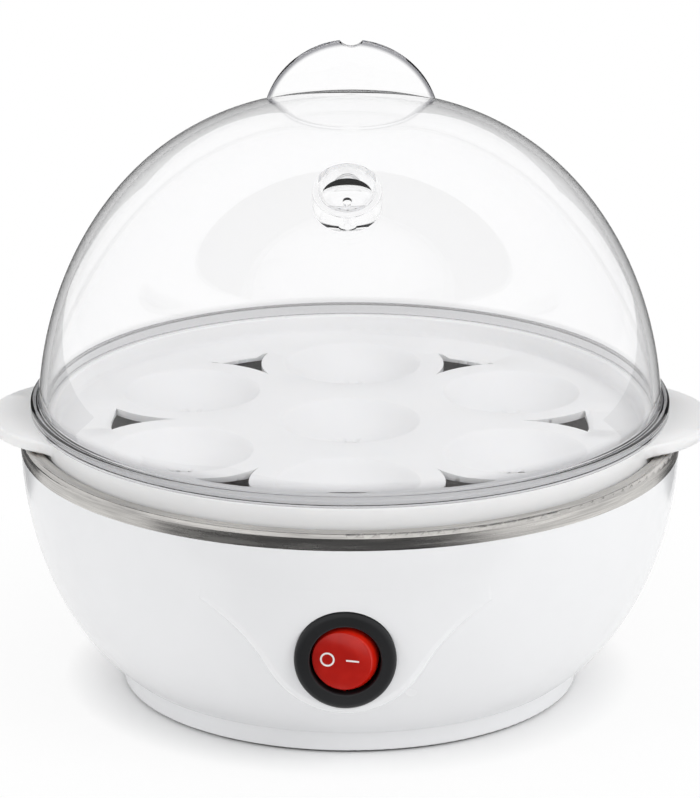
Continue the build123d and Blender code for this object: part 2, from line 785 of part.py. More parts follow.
# Switch housing, drawn on its panel's plane with z out to the front
switch_plane = Plane(origin=(0, switch_face_y, switch_z), x_dir=(1, 0, 0), z_dir=(0, -1, 0))
cavity_floor = bezel_thickness - switch_cavity_depth
pivot_height = bezel_thickness - rocker_face_recess - rocker_face_height
pivot_y = switch_face_y - pivot_height
pivot_pocket_radius = rocker_pin_radius + slide_gap
pivot_pocket_reach = rocker_radius + rocker_pin_length + slide_gap
with BuildPart() as switch_housing:
    with BuildSketch(switch_plane):
        Circle(bezel_radius)
    extrude(amount=bezel_thickness)
    fillet(switch_housing.edges().sort_by(Axis.Y)[0], radius=bezel_round)
    with BuildSketch(switch_plane):
        Circle(switch_body_radius)
    extrude(amount=-switch_body_depth)
    with BuildSketch(switch_plane.offset(bezel_thickness)):
        Circle(switch_mouth_radius)
    extrude(amount=-switch_cavity_depth, mode=Mode.SUBTRACT)
    mouth_rings = [
        edge
        for edge in switch_housing.edges().filter_by(GeomType.CIRCLE)
        if abs(edge.radius - switch_mouth_radius) < seat_gap
    ]
    fillet(ShapeList(mouth_rings).sort_by(Axis.Y)[0], radius=bezel_mouth_round)
    with BuildSketch(Plane.XY.offset(switch_z)):
        with Locations((0, pivot_y)):
            Circle(pivot_pocket_radius)
    extrude(amount=pivot_pocket_reach, both=True, mode=Mode.SUBTRACT)
    with BuildSketch(switch_plane.offset(cavity_floor)):
        Rectangle(2 * (lamp_radius + part_gap), lamp_length + 2 * part_gap)
    extrude(amount=-lamp_pocket_depth, mode=Mode.SUBTRACT)
    with BuildSketch(switch_plane.offset(-switch_body_depth)):
        with GridLocations(terminal_spacing, 0, 3, 1):
            Rectangle(terminal_thickness, terminal_width)
    extrude(amount=terminal_seat, mode=Mode.SUBTRACT)
    with BuildSketch(Plane.XY.offset(switch_z)):
        with BuildLine():
            wing_front_y = switch_face_y + switch_wing_start
            Polyline(
                (switch_body_radius - switch_wing_reach, wing_front_y),
                (switch_body_radius + switch_wing_reach, wing_front_y),
                (switch_body_radius - switch_wing_reach, wing_front_y + switch_wing_length),
                close=True,
            )
        make_face()
        mirror(about=Plane.YZ)
    extrude(amount=switch_wing_width / 2, both=True)
    with BuildSketch(switch_plane.offset(cavity_floor)):
        Circle(switch_mouth_radius)
    extrude(amount=switch_cavity_depth, mode=Mode.SUBTRACT)
save(switch_housing, "switch_housing")

with BuildPart() as switch_terminals:
    with BuildSketch(switch_plane.offset(terminal_seat - switch_body_depth)):
        with GridLocations(terminal_spacing, 0, 3, 1):
            Rectangle(terminal_thickness, terminal_width)
    extrude(amount=-terminal_length - terminal_seat)
save(switch_terminals, "switch_terminals")

# Lamp behind the rocker: a small glass capsule lying upright in its pocket
lamp_y = switch_face_y - cavity_floor + lamp_pocket_depth - lamp_radius - seat_gap
with BuildPart() as neon_lamp:
    with BuildSketch(Plane.XY.offset(switch_z - lamp_length / 2)):
        with Locations((0, lamp_y)):
            Circle(lamp_radius)
    extrude(amount=lamp_length)
    fillet(neon_lamp.edges().filter_by(GeomType.CIRCLE), radius=lamp_radius - seat_gap)
save(neon_lamp, "neon_lamp")

# Rocker, drawn on a plane through its pivot that is tilted as the switch rests, off
tilt = radians(rocker_tilt)
rocker_plane = Plane(
    origin=(0, pivot_y, switch_z), x_dir=(cos(tilt), -sin(tilt), 0), z_dir=(-sin(tilt), -cos(tilt), 0)
)
rocker_top_plane = Plane(
    origin=(0, pivot_y, switch_z), x_dir=(cos(tilt), -sin(tilt), 0), z_dir=(0, 0, 1)
)
dish_rise = rocker_radius * tan(radians(rocker_dish_angle))
dish_radius = (rocker_radius**2 + dish_rise**2) / (2 * dish_rise)
with BuildPart() as rocker_button:
    with BuildSketch(rocker_plane.offset(-rocker_back_depth)):
        Circle(rocker_radius)
    extrude(amount=rocker_back_depth + rocker_face_height + dish_rise + rocker_wall)
    with BuildSketch(rocker_top_plane):
        with Locations((0, -rocker_face_height - dish_radius)):
            Circle(dish_radius)
    extrude(amount=bezel_radius, both=True, mode=Mode.SUBTRACT)
    front_edges = rocker_button.faces().filter_by(GeomType.CYLINDER).sort_by(Axis.Y)[0].edges()
    fillet(front_edges, radius=rocker_edge_round)
    with BuildSketch(rocker_plane.offset(-rocker_back_depth)):
        Circle(rocker_radius - rocker_wall)
    extrude(amount=rocker_back_depth + rocker_face_height - rocker_wall, mode=Mode.SUBTRACT)
    with BuildSketch(rocker_top_plane.offset(rocker_radius - rocker_wall / 2)):
        Circle(rocker_pin_radius)
    extrude(amount=rocker_wall / 2 + rocker_pin_length)
    with BuildSketch(rocker_top_plane.offset(rocker_wall / 2 - rocker_radius)):
        Circle(rocker_pin_radius)
    extrude(amount=-rocker_wall / 2 - rocker_pin_length)
save(rocker_button, "rocker_button")

# Cord gland: a rubber bush through the back wall
gland_back_gap = gland_flange_radius**2 / (2 * bowl_inside(gland_z)) + seat_gap
gland_neck_length = bowl_wall + gland_back_gap
with BuildPart() as cord_gland:
    with BuildSketch(gland_plane):
        Circle(gland_flange_radius)
    extrude(amount=gland_flange_thickness)
    with BuildSketch(gland_plane.offset(gland_flange_thickness)):
        Circle(gland_nose_radius)
    extrude(amount=gland_nose_length)
    with BuildSketch(gland_plane):
        Circle(gland_neck_radius)
    extrude(amount=-gland_neck_length)
    with BuildSketch(gland_plane.offset(-gland_neck_length)):
        Circle(gland_flange_radius)
    extrude(amount=-gland_lip_thickness)
    with BuildSketch(gland_plane.offset(gland_flange_thickness + gland_nose_length)):
        Circle(gland_bore_radius)
    gland_length = gland_flange_thickness + gland_nose_length + gland_neck_length + gland_lip_thickness
    extrude(amount=-gland_length, mode=Mode.SUBTRACT)
save(cord_gland, "cord_gland")


def bend_radii(points):
    """Bend radius at each inner point of a wire's route."""
    radii = []
    for before, here, after in zip(points, points[1:], points[2:]):
        arriving = Vector(*here) - Vector(*before)
        leaving = Vector(*after) - Vector(*here)
        turn = radians(arriving.get_angle(leaving))
        shorter = min(arriving.length, leaving.length)
        radii.append(wire_bend_share * shorter / tan(turn / 2))
    return radii


def wire(points):
    """Round wire along straight runs joined by arcs."""
    with BuildPart() as tube:
        with BuildLine() as route:
            FilletPolyline(*points, radius=bend_radii(points))
        with BuildSketch(Plane(origin=route.line @ 0, z_dir=route.line % 0)):
            Circle(wire_radius)
        sweep()
    print("wire bends", [round(radius, 1) for radius in bend_radii(points)])
    return tube


# Wiring: the routes' ends come from the pieces they meet
terminal_tip_y = switch_face_y + switch_body_depth + terminal_length
blade_tip_z = thermostat_bottom_z - blade_length
lead_reach = fuse_length / 2 + fuse_lead_length
cap_z = foot_height + cap_radius + seat_gap
wire_pair = wire_radius + seat_gap / 2
wire_seat = 5.0
live_wire = wire([
    (0, terminal_tip_y + part_gap, switch_z),
    (0, -46, switch_z),
    (0, -33, 24),
    (-2, -18, 13),
    (-blade_spacing / 2, -5, 11),
    (-blade_spacing / 2, 0, 14.5),
    (-blade_spacing / 2, 0, blade_tip_z - part_gap),
])
save(live_wire, "live_wire")
element_link = wire([
    (blade_spacing / 2, 0, blade_tip_z - part_gap),
    (blade_spacing / 2, 0, 15.5),
    (blade_spacing / 2 + 1, 6, 11.5),
    (leg_x + 1, 18, 10),
    (leg_x, leg_y - 6, 10.5),
    (leg_x, leg_y, 13.5),
    (leg_x, leg_y, pin_end_z - part_gap),
])
save(element_link, "element_link")
fuse_lead = wire([
    (fuse_x, fuse_y + lead_reach + part_gap, fuse_z),
    (fuse_x, 15, fuse_z - 1),
    (fuse_x + 2, 20, 29),
    (fuse_x + 5, 25, 19),
    (-leg_x - 4, 31, 12),
    (-leg_x, leg_y, 13.5),
    (-leg_x, leg_y, pin_end_z - part_gap),
])
save(fuse_lead, "fuse_lead")
neutral_wire = wire([
    (fuse_x, fuse_y - lead_reach - part_gap, fuse_z),
    (fuse_x, -19, fuse_z - 1),
    (fuse_x - 2, -26, 31),
    (fuse_x - 6, -32, 20),
    (cap_x - wire_pair, -30, 11.5),
    (cap_x - wire_pair, -24, cap_z),
    (cap_x - wire_pair, cap_mouth_y + wire_seat, cap_z),
])
save(neutral_wire, "neutral_wire")
lamp_wire = wire([
    (terminal_spacing, terminal_tip_y + part_gap, switch_z),
    (terminal_spacing, -47, switch_z - 1),
    (1, -42, 22),
    (-9, -40, 12),
    (-20, -38, 9.5),
    (cap_x + wire_pair, -29, cap_z),
    (cap_x + wire_pair, cap_mouth_y + wire_seat, cap_z),
])
save(lamp_wire, "lamp_wire")

with BuildPart() as crimp_cap:
    with BuildSketch(front.offset(-cap_mouth_y)):
        with Locations((cap_x, cap_z)):
            Circle(cap_radius)
    extrude(amount=-cap_length)
    fillet(crimp_cap.edges().sort_by(Axis.Y)[-1], radius=cap_radius / 2)
    with BuildSketch(front.offset(-cap_mouth_y)):
        with Locations((cap_x, cap_z)):
            Circle(cap_radius - cap_wall)
    extrude(amount=-wire_seat - part_gap, mode=Mode.SUBTRACT)
save(crimp_cap, "crimp_cap")

# Egg tray: a dish with a hollow rim, seven seats, six openings and two ears
rib_inner_radius = tray_rib_radius - tray_rib_wall
shelf_under_z = tray_shelf_z - tray_shelf_thickness
tray_foot_z = pan_flange_top_z + slide_gap
ear_bottom_z = band_top_z + slide_gap
seat_sphere = (seat_mouth_radius**2 + seat_depth**2) / (2 * seat_depth)
seat_sphere_z = tray_disc_z - seat_depth + seat_sphere
outer_seats = around(seat_pitch_radius, seat_count, -90)
seats = [(0, 0)] + outer_seats

with BuildPart() as seat_void:
    with BuildSketch(front):
        with Locations((0, seat_sphere_z)):
            Circle(seat_sphere)
        with Locations((0, tray_disc_z)):
            Rectangle(2 * seat_sphere, seat_depth + seat_wall, align=(Align.MIN, Align.MAX), mode=Mode.INTERSECT)
    revolve(axis=Axis.Z)
    with BuildSketch(Plane.XY.offset(tray_disc_z)):
        Circle(seat_hole_radius)
    extrude(amount=-seat_depth - 2 * seat_wall)

with BuildPart() as seat_cup:
    with BuildSketch(front):
        with Locations((0, seat_sphere_z)):
            Circle(seat_sphere + seat_wall)
        with Locations((0, tray_disc_z - tray_wall / 2)):
            Rectangle(2 * seat_sphere, seat_depth + seat_wall, align=(Align.MIN, Align.MAX), mode=Mode.INTERSECT)
    revolve(axis=Axis.Z)


def opening_outline(inset, height):
    """Six three-sided openings midway between the outer seats."""
    with BuildSketch(Plane.XY.offset(height)) as outline:
        Circle(opening_outer_radius - inset)
        Circle(opening_inner_radius + inset, mode=Mode.SUBTRACT)
        with Locations(*outer_seats):
            Circle(seat_mouth_radius + opening_seat_margin + inset, mode=Mode.SUBTRACT)
    return outline


with BuildPart() as tray_ears:
    with BuildSketch(Plane.XY.offset(ear_bottom_z)) as ear_outline:
        Circle(tray_outer_radius)
        with GridLocations(2 * ear_centre_x, 0, 2, 1):
            Circle(ear_radius)
        roots = [point for point in ear_outline.vertices() if abs(point.Y) > ear_root_round]
        fillet(roots, radius=ear_root_round)
        Circle(tray_outer_radius - tray_wall / 2, mode=Mode.SUBTRACT)
    extrude(amount=ear_thickness)
    rims = [edge for edge in tray_ears.edges().filter_by(Plane.XY) if edge.length > ear_root_round / 2]
    outer_rims = [edge for edge in rims if not abs(edge.radius - tray_outer_radius + tray_wall / 2) < part_gap]
    fillet(outer_rims, radius=ear_edge_round)

with BuildPart() as egg_tray:
    with BuildSketch(front) as tray_section:
        with BuildLine():
            Polyline(
                (0, tray_disc_z - tray_wall),
                (rib_inner_radius, tray_disc_z - tray_wall),
                (rib_inner_radius, tray_skirt_z),
                (tray_rib_radius, tray_skirt_z),
                (tray_rib_radius, shelf_under_z),
                (tray_outer_radius - tray_wall, shelf_under_z),
                (tray_outer_radius - tray_wall, tray_foot_z),
                (tray_outer_radius, tray_foot_z),
                (tray_outer_radius, tray_shelf_z),
                (tray_rib_radius, tray_shelf_z),
                (tray_rib_radius, tray_shelf_z + tray_rib_height),
                (rib_inner_radius, tray_shelf_z + tray_rib_height),
                (rib_inner_radius, tray_disc_z),
                (0, tray_disc_z),
                close=True,
            )
        make_face()
        fillet(corners(tray_section, (tray_outer_radius, tray_shelf_z)), radius=tray_edge_round)
        rib_top_z = tray_shelf_z + tray_rib_height
        rib_corners = corners(tray_section, (tray_rib_radius, rib_top_z), (rib_inner_radius, rib_top_z))
        fillet(rib_corners, radius=tray_rib_wall / 3)
        fillet(corners(tray_section, (rib_inner_radius, tray_disc_z)), radius=tray_corner_round)
    revolve(axis=Axis.Z)
    with Locations(*seats):
        add(seat_cup.part)
    with Locations(*seats):
        add(seat_void.part, mode=Mode.SUBTRACT)
    mouths = [
        edge
        for edge in egg_tray.edges().filter_by(GeomType.CIRCLE)
        if abs(edge.radius - seat_mouth_radius) < part_gap and edge.center().Z > tray_disc_z - part_gap
    ]
    fillet(mouths, radius=seat_edge_round)
    opening_outline(0, tray_disc_z)
    slope_angle = degrees(atan(opening_slope_width / opening_slope_depth))
    extrude(opening_outline(0, tray_disc_z).sketch, amount=-opening_slope_depth, taper=slope_angle, mode=Mode.SUBTRACT)
    extrude(opening_outline(opening_slope_width, tray_disc_z).sketch, amount=-tray_wall * 2, mode=Mode.SUBTRACT)
    add(tray_ears.part)
save(egg_tray, "egg_tray")

# Lid: dome, fin handle and vent boss in one clear moulding
lid_rim_z = tray_shelf_z + slide_gap
lid_inner_width = lid_curve_width - lid_wall
lid_inner_depth = lid_curve_depth - lid_wall


def lid_arc(width, half_height, low_z):
    """The dome's curve from low_z up to its flat middle."""
    start = ellipse_angle(low_z, lid_curve_z, half_height)
    return EllipticalCenterArc((lid_curve_centre, lid_curve_z), width, half_height, start, arc_size=90 - start)


boss_height_z = lid_curve_z + lid_curve_depth * sqrt(
    1 - ((boss_distance - lid_curve_centre) / lid_curve_width) ** 2
)
boss_slope = atan(
    lid_curve_depth**2
    * (boss_distance - lid_curve_centre)
    / (lid_curve_width**2 * (boss_height_z - lid_curve_z))
)
boss_plane = Plane(
    origin=(0, -boss_distance, boss_height_z),
    x_dir=(1, 0, 0),
    z_dir=(0, -sin(boss_slope), cos(boss_slope)),
)
fin_top_z = fin_centre_z + fin_radius
notch_radius = ((notch_width / 2) ** 2 + notch_depth**2) / (2 * notch_depth)

with BuildPart() as lid_dome:
    with BuildSketch(front) as lid_section:
        with BuildLine():
            rim_upper_z = lid_rim_z + lid_rim_thickness
            curve = lid_arc(lid_curve_width, lid_curve_depth, rim_upper_z)
            Polyline(
                curve @ 1,
                (0, lid_curve_z + lid_curve_depth),
                (0, lid_rim_z),
                (lid_rim_radius, lid_rim_z),
                (lid_rim_radius, rim_upper_z),
                curve @ 0,
            )
        make_face()
        fillet(corners(lid_section, (lid_rim_radius, rim_upper_z)), radius=lid_rim_round)
        lid_side_radius = ellipse_radius(
            rim_upper_z, lid_curve_centre, lid_curve_width, lid_curve_z, lid_curve_depth
        )
        fillet(corners(lid_section, (lid_side_radius, rim_upper_z)), radius=lid_flare_round)
    revolve(axis=Axis.Z)
    with BuildSketch(front) as fin_outline:
        with Locations((0, fin_centre_z)):
            Circle(fin_radius)
            Rectangle(2 * fin_radius, fin_radius, align=(Align.CENTER, Align.MAX), mode=Mode.SUBTRACT)
        with Locations((0, fin_top_z - notch_depth + notch_radius)):
            Circle(notch_radius, mode=Mode.SUBTRACT)
    extrude(amount=fin_thickness / 2, both=True)
    with BuildSketch(boss_plane.offset(-boss_root)):
        Circle(boss_radius)
    extrude(amount=boss_root + boss_height)
    with BuildSketch(boss_plane.offset(boss_height)):
        Circle(steam_hole_radius)
    extrude(amount=-boss_height - lid_wall * 2, mode=Mode.SUBTRACT)
    with BuildSketch(Plane(boss_plane.origin, x_dir=boss_plane.x_dir, z_dir=boss_plane.y_dir * -1)):
        with BuildLine():
            Polyline(
                (0, boss_height),
                (funnel_radius, boss_height),
                (steam_hole_radius, boss_height - funnel_depth),
                (0, boss_height - funnel_depth),
                close=True,
            )
        make_face()
    revolve(axis=Axis(boss_plane.origin, boss_plane.z_dir), mode=Mode.SUBTRACT)
    with BuildSketch(front):
        with BuildLine():
            inner_curve = lid_arc(lid_inner_width, lid_inner_depth, lid_rim_z - lid_wall)
            Polyline(
                inner_curve @ 1,
                (0, lid_curve_z + lid_inner_depth),
                (0, lid_rim_z - lid_wall),
                inner_curve @ 0,
            )
        make_face()
    revolve(axis=Axis.Z, mode=Mode.SUBTRACT)
save(lid_dome, "lid_dome")
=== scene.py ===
import json
import math

import bpy
from mathutils import Matrix, Vector


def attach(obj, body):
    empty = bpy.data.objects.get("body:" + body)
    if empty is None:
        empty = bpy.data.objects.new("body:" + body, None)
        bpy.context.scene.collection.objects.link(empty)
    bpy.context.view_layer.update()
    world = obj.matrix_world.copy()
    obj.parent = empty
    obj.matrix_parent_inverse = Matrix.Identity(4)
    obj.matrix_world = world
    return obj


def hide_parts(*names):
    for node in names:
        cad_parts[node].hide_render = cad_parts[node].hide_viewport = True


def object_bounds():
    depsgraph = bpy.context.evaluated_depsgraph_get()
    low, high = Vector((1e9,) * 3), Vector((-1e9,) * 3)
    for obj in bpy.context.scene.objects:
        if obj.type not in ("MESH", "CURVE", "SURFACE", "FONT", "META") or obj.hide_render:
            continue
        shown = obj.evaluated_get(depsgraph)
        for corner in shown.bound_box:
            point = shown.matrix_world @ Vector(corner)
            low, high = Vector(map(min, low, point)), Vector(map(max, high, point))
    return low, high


# Looks of an electric egg cooker, in metres, in the frame of its solids: Z is up and the
# switch is at the front, toward -Y. Its forms are the solids' own, apart from the clear lid
# and the rocker, which are modelled again, the tray, whose openings are cut further in, and
# the two marks on the rocker.

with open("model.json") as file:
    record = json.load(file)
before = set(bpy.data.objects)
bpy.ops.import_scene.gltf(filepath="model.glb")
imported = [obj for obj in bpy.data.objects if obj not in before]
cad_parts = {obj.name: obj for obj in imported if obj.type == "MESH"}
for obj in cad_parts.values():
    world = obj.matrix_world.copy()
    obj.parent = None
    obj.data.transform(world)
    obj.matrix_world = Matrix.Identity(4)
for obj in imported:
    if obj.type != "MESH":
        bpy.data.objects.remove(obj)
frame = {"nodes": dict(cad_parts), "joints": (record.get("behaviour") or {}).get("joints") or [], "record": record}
solids_low, solids_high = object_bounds()

MM = 0.001

# Camera, as the photograph was taken
CAMERA_TURN = math.radians(0.8)
CAMERA_HEIGHT_ANGLE = math.radians(18)
CAMERA_DISTANCE = 1.3
CAMERA_AIM_Z = 71.94 * MM
CAMERA_LENS = 235.6
CAMERA_SENSOR = 36.0

# Rocker, at rest with its round-mark side pressed in: a ball about its pivot, with a dished face
ROCKER_TILT = math.radians(12)
ROCKER_BALL_RADIUS = 8.15 * MM
ROCKER_FACE_RADIUS = 7.15 * MM
ROCKER_DISH_ANGLE = math.radians(10)
ROCKER_EDGE_ROUND = 0.3 * MM
ROCKER_BACK_DEPTH = 2.5 * MM
ROCKER_PIN_RADIUS = 1.1 * MM
ROCKER_PIN_REACH = 9.0 * MM
ROCKER_FACE_HEIGHT = 3.6 * MM
ROCKER_STEPS = 24
MARK_PROUD = 0.03 * MM
MARK_THICKNESS = 0.08 * MM
MARK_LINE = 0.42 * MM
ROUND_MARK_PLACE = -3.6 * MM
ROUND_MARK_RADIUS = 1.75 * MM
ROUND_MARK_STEPS = 64
LINE_MARK_PLACE = 2.5 * MM
LINE_MARK_LENGTH = 3.2 * MM
LINE_MARK_CUTS = 6
LINE_MARK_ROUND = MARK_LINE / 5
LINE_MARK_ROUND_STEPS = 3

# Lid: part of an ellipse spun about Z, with a rim, a fin and a vent boss
LID_CURVE_WIDTH = 63.8 * MM
LID_CURVE_CENTRE = 13.8 * MM
LID_CURVE_Z = 67.8 * MM
LID_CURVE_DEPTH = 78.5 * MM
LID_WALL = 2.0 * MM
LID_RIM_RADIUS = 79.45 * MM
LID_RIM_Z = 70.6 * MM
LID_RIM_THICKNESS = 2.7 * MM
LID_RIM_ROUND = 0.9 * MM
LID_FLARE_ROUND = 1.0 * MM
LID_FOOT_ROUND = 0.3 * MM
LID_CURVE_STEPS = 72
LID_SPIN_STEPS = 288
ROUND_STEPS = 6
FIN_RADIUS = 22.2 * MM
FIN_Z = 137.0 * MM
FIN_BACK = 18.0 * MM
FIN_FOOT_Z = 144.2 * MM
FIN_THICKNESS = 2.6 * MM
FIN_EDGE_ROUND = 0.9 * MM
FIN_STEPS = 256
NOTCH_WIDTH = 6.0 * MM
NOTCH_DEPTH = 1.5 * MM
BOSS_DISTANCE = 46.0 * MM
BOSS_RADIUS = 8.3 * MM
BOSS_HEIGHT = 5.2 * MM
BOSS_ROOT = 1.4 * MM
BOSS_EDGE_ROUND = 0.5 * MM
BOSS_STEPS = 128
FUNNEL_RADIUS = 6.8 * MM
FUNNEL_DEPTH = 4.4 * MM
STEAM_HOLE_RADIUS = 1.1 * MM

# Egg tray: the outline of its openings, each between two of the outer seats
TRAY_DISC_Z = 66.5 * MM
OPENING_CUT_BELOW = 4 * MM
OPENING_CUT_HEIGHT = 6 * MM
SEAT_PITCH_RADIUS = 47.0 * MM
SEAT_COUNT = 6
OPENING_SEAT_RADIUS = 23.6 * MM
OPENING_OUTER_RADIUS = 59.5 * MM
OPENING_STEPS = 16

# Modelling
WELD = MM / 1000
SMOOTH_BELOW = math.radians(30)
ROUND_ABOVE = math.radians(40)


# Small helpers for shader nodes

def add_node(tree, kind, values=None, **settings):
    """One shader node. A value that is a socket is linked, and any other is set."""
    node = tree.nodes.new(kind)
    for setting, value in settings.items():
        setattr(node, setting, value)
    for socket, value in (values or {}).items():
        if isinstance(value, bpy.types.NodeSocket):
            tree.links.new(value, node.inputs[socket])
        else:
            node.inputs[socket].default_value = value
    return node


def calculate(tree, operation, first, second=0.0, clamp=False):
    """Result of one sum on numbers."""
    values = {0: first, 1: second}
    return add_node(tree, "ShaderNodeMath", values, operation=operation, use_clamp=clamp).outputs[0]


def noise(tree, vector, scale, detail=2.0, roughness=0.5):
    """Soft random values from 0 to 1."""
    values = {"Vector": vector, "Scale": scale, "Detail": detail, "Roughness": roughness}
    return add_node(tree, "ShaderNodeTexNoise", values).outputs["Fac"]


def stretch(tree, value, low, high, new_low=0.0, new_high=1.0):
    """Value moved from the range low to high into a new range, and held inside it."""
    values = {"Value": value, "From Min": low, "From Max": high, "To Min": new_low, "To Max": new_high}
    return add_node(tree, "ShaderNodeMapRange", values).outputs["Result"]


def blend_colours(tree, share, first, second):
    """Colour between two."""
    node = add_node(tree, "ShaderNodeMix", data_type="RGBA")
    for place, value in ((0, share), (6, first), (7, second)):
        if isinstance(value, bpy.types.NodeSocket):
            tree.links.new(value, node.inputs[place])
        else:
            node.inputs[place].default_value = value
    return node.outputs[2]


def object_place(tree):
    """Place on the piece, in metres."""
    return add_node(tree, "ShaderNodeTexCoord").outputs["Object"]


def start_group(name, inputs, outputs):
    """Empty shader group with named number inputs and named outputs."""
    tree = bpy.data.node_groups.new(name, "ShaderNodeTree")
    for label, value in inputs.items():
        socket = tree.interface.new_socket(label, in_out="INPUT", socket_type="NodeSocketFloat")
        socket.default_value = value
    for label, kind in outputs.items():
        tree.interface.new_socket(label, in_out="OUTPUT", socket_type=kind)
    entry = tree.nodes.new("NodeGroupInput")
    leave = tree.nodes.new("NodeGroupOutput")
    return tree, entry.outputs, leave.inputs


SURFACE_OUTPUTS = {
    "Tone": "NodeSocketFloat",
    "Roughness": "NodeSocketFloat",
    "Normal": "NodeSocketVector",
}


# Effects that several materials share

def moulded_skin_group():
    """Skin of a moulding: a slow wave left by cooling, a fine grain, and uneven shine."""
    inputs = {
        "Wave Size": 0.02,
        "Wave Depth": 0.00002,
        "Grain Size": 0.0004,
        "Grain Depth": 0.000002,
        "Roughness": 0.3,
        "Roughness Spread": 0.05,
    }
    tree, given, result = start_group("moulded skin", inputs, SURFACE_OUTPUTS)
    place = object_place(tree)
    wave = noise(tree, place, calculate(tree, "DIVIDE", 1.0, given["Wave Size"]), 1.0)
    grain = noise(tree, place, calculate(tree, "DIVIDE", 1.0, given["Grain Size"]), 3.0)
    wave_bump = add_node(
        tree, "ShaderNodeBump", {"Strength": 1.0, "Distance": given["Wave Depth"], "Height": wave}
    )
    grain_bump = add_node(
        tree,
        "ShaderNodeBump",
        {
            "Strength": 1.0,
            "Distance": given["Grain Depth"],
            "Height": grain,
            "Normal": wave_bump.outputs["Normal"],
        },
    )
    patches = noise(tree, place, calculate(tree, "DIVIDE", 0.4, given["Wave Size"]), 3.0, 0.6)
    uneven = stretch(tree, patches, 0.3, 0.7, -1.0, 1.0)
    spread = calculate(tree, "MULTIPLY", uneven, given["Roughness Spread"])
    roughness = calculate(tree, "ADD", given["Roughness"], spread)
    tree.links.new(stretch(tree, patches, 0.35, 0.65), result["Tone"])
    tree.links.new(roughness, result["Roughness"])
    tree.links.new(grain_bump.outputs["Normal"], result["Normal"])
    return tree


def turned_lines_group():
    """Fine lines that run round the Z axis, as brushing or spinning leaves them on sheet metal."""
    inputs = {
        "Line Pitch": 0.0002,
        "Line Depth": 0.000004,
        "Streaks Round": 5.0,
        "Roughness": 0.25,
        "Roughness Spread": 0.08,
    }
    tree, given, result = start_group("turned lines", inputs, SURFACE_OUTPUTS)
    along = add_node(tree, "ShaderNodeSeparateXYZ", {"Vector": object_place(tree)}).outputs
    squares = calculate(
        tree,
        "ADD",
        calculate(tree, "MULTIPLY", along["X"], along["X"]),
        calculate(tree, "MULTIPLY", along["Y"], along["Y"]),
    )
    radius = calculate(tree, "SQRT", squares)
    turn_share = calculate(tree, "DIVIDE", given["Streaks Round"], radius)
    round_x = calculate(tree, "MULTIPLY", along["X"], turn_share)
    round_y = calculate(tree, "MULTIPLY", along["Y"], turn_share)
    across = calculate(tree, "ADD", radius, along["Z"])
    fine_across = calculate(tree, "DIVIDE", across, given["Line Pitch"])
    fine_place = add_node(tree, "ShaderNodeCombineXYZ", {"X": round_x, "Y": round_y, "Z": fine_across})
    fine = noise(tree, fine_place.outputs[0], 1.0, 3.0, 0.6)
    broad_across = calculate(tree, "MULTIPLY", fine_across, 0.2)
    broad_place = add_node(tree, "ShaderNodeCombineXYZ", {"X": round_x, "Y": round_y, "Z": broad_across})
    broad = noise(tree, broad_place.outputs[0], 0.7, 2.0, 0.6)
    bump = add_node(
        tree, "ShaderNodeBump", {"Strength": 1.0, "Distance": given["Line Depth"], "Height": fine}
    )
    uneven = stretch(tree, broad, 0.3, 0.7, -1.0, 1.0)
    spread = calculate(tree, "MULTIPLY", uneven, given["Roughness Spread"])
    fine_share = calculate(tree, "MULTIPLY", fine, 0.45)
    both = calculate(tree, "ADD", fine_share, calculate(tree, "MULTIPLY", broad, 0.55))
    tree.links.new(stretch(tree, both, 0.35, 0.65), result["Tone"])
    tree.links.new(calculate(tree, "ADD", given["Roughness"], spread), result["Roughness"])
    tree.links.new(bump.outputs["Normal"], result["Normal"])
    return tree


def fine_marks_group():
    """Mask of hair-thin rubbing marks and small specks, for the roughness of a polished piece."""
    inputs = {"Mark Size": 0.012, "Amount": 0.5}
    tree, given, result = start_group("fine marks", inputs, {"Mask": "NodeSocketFloat"})
    place = object_place(tree)
    scale = calculate(tree, "DIVIDE", 1.0, given["Mark Size"])
    bent = add_node(tree, "ShaderNodeTexNoise", {"Vector": place, "Scale": scale, "Detail": 1.0})
    wandering = add_node(
        tree,
        "ShaderNodeVectorMath",
        {0: place, 1: calculate(tree, "MULTIPLY", bent.outputs["Fac"], 0.01)},
        operation="ADD",
    ).outputs[0]
    hair = add_node(
        tree,
        "ShaderNodeTexVoronoi",
        {"Vector": wandering, "Scale": calculate(tree, "MULTIPLY", scale, 1.7)},
        feature="DISTANCE_TO_EDGE",
    ).outputs["Distance"]
    lines = stretch(tree, hair, 0.0, 0.012, 1.0, 0.0)
    broken = stretch(tree, noise(tree, place, calculate(tree, "MULTIPLY", scale, 2.3), 2.0), 0.5, 0.62)
    specks = stretch(tree, noise(tree, place, calculate(tree, "MULTIPLY", scale, 60.0), 1.0), 0.72, 0.8)
    marks = calculate(tree, "ADD", calculate(tree, "MULTIPLY", lines, broken), specks, clamp=True)
    tree.links.new(calculate(tree, "MULTIPLY", marks, given["Amount"]), result["Mask"])
    return tree


MOULDED_SKIN = moulded_skin_group()
TURNED_LINES = turned_lines_group()
FINE_MARKS = fine_marks_group()


def use_group(tree, group, values):
    """A shared effect placed in a material, with its own values."""
    node = add_node(tree, "ShaderNodeGroup", node_tree=group)
    for label, value in values.items():
        node.inputs[label].default_value = value
    return node.outputs


# Materials

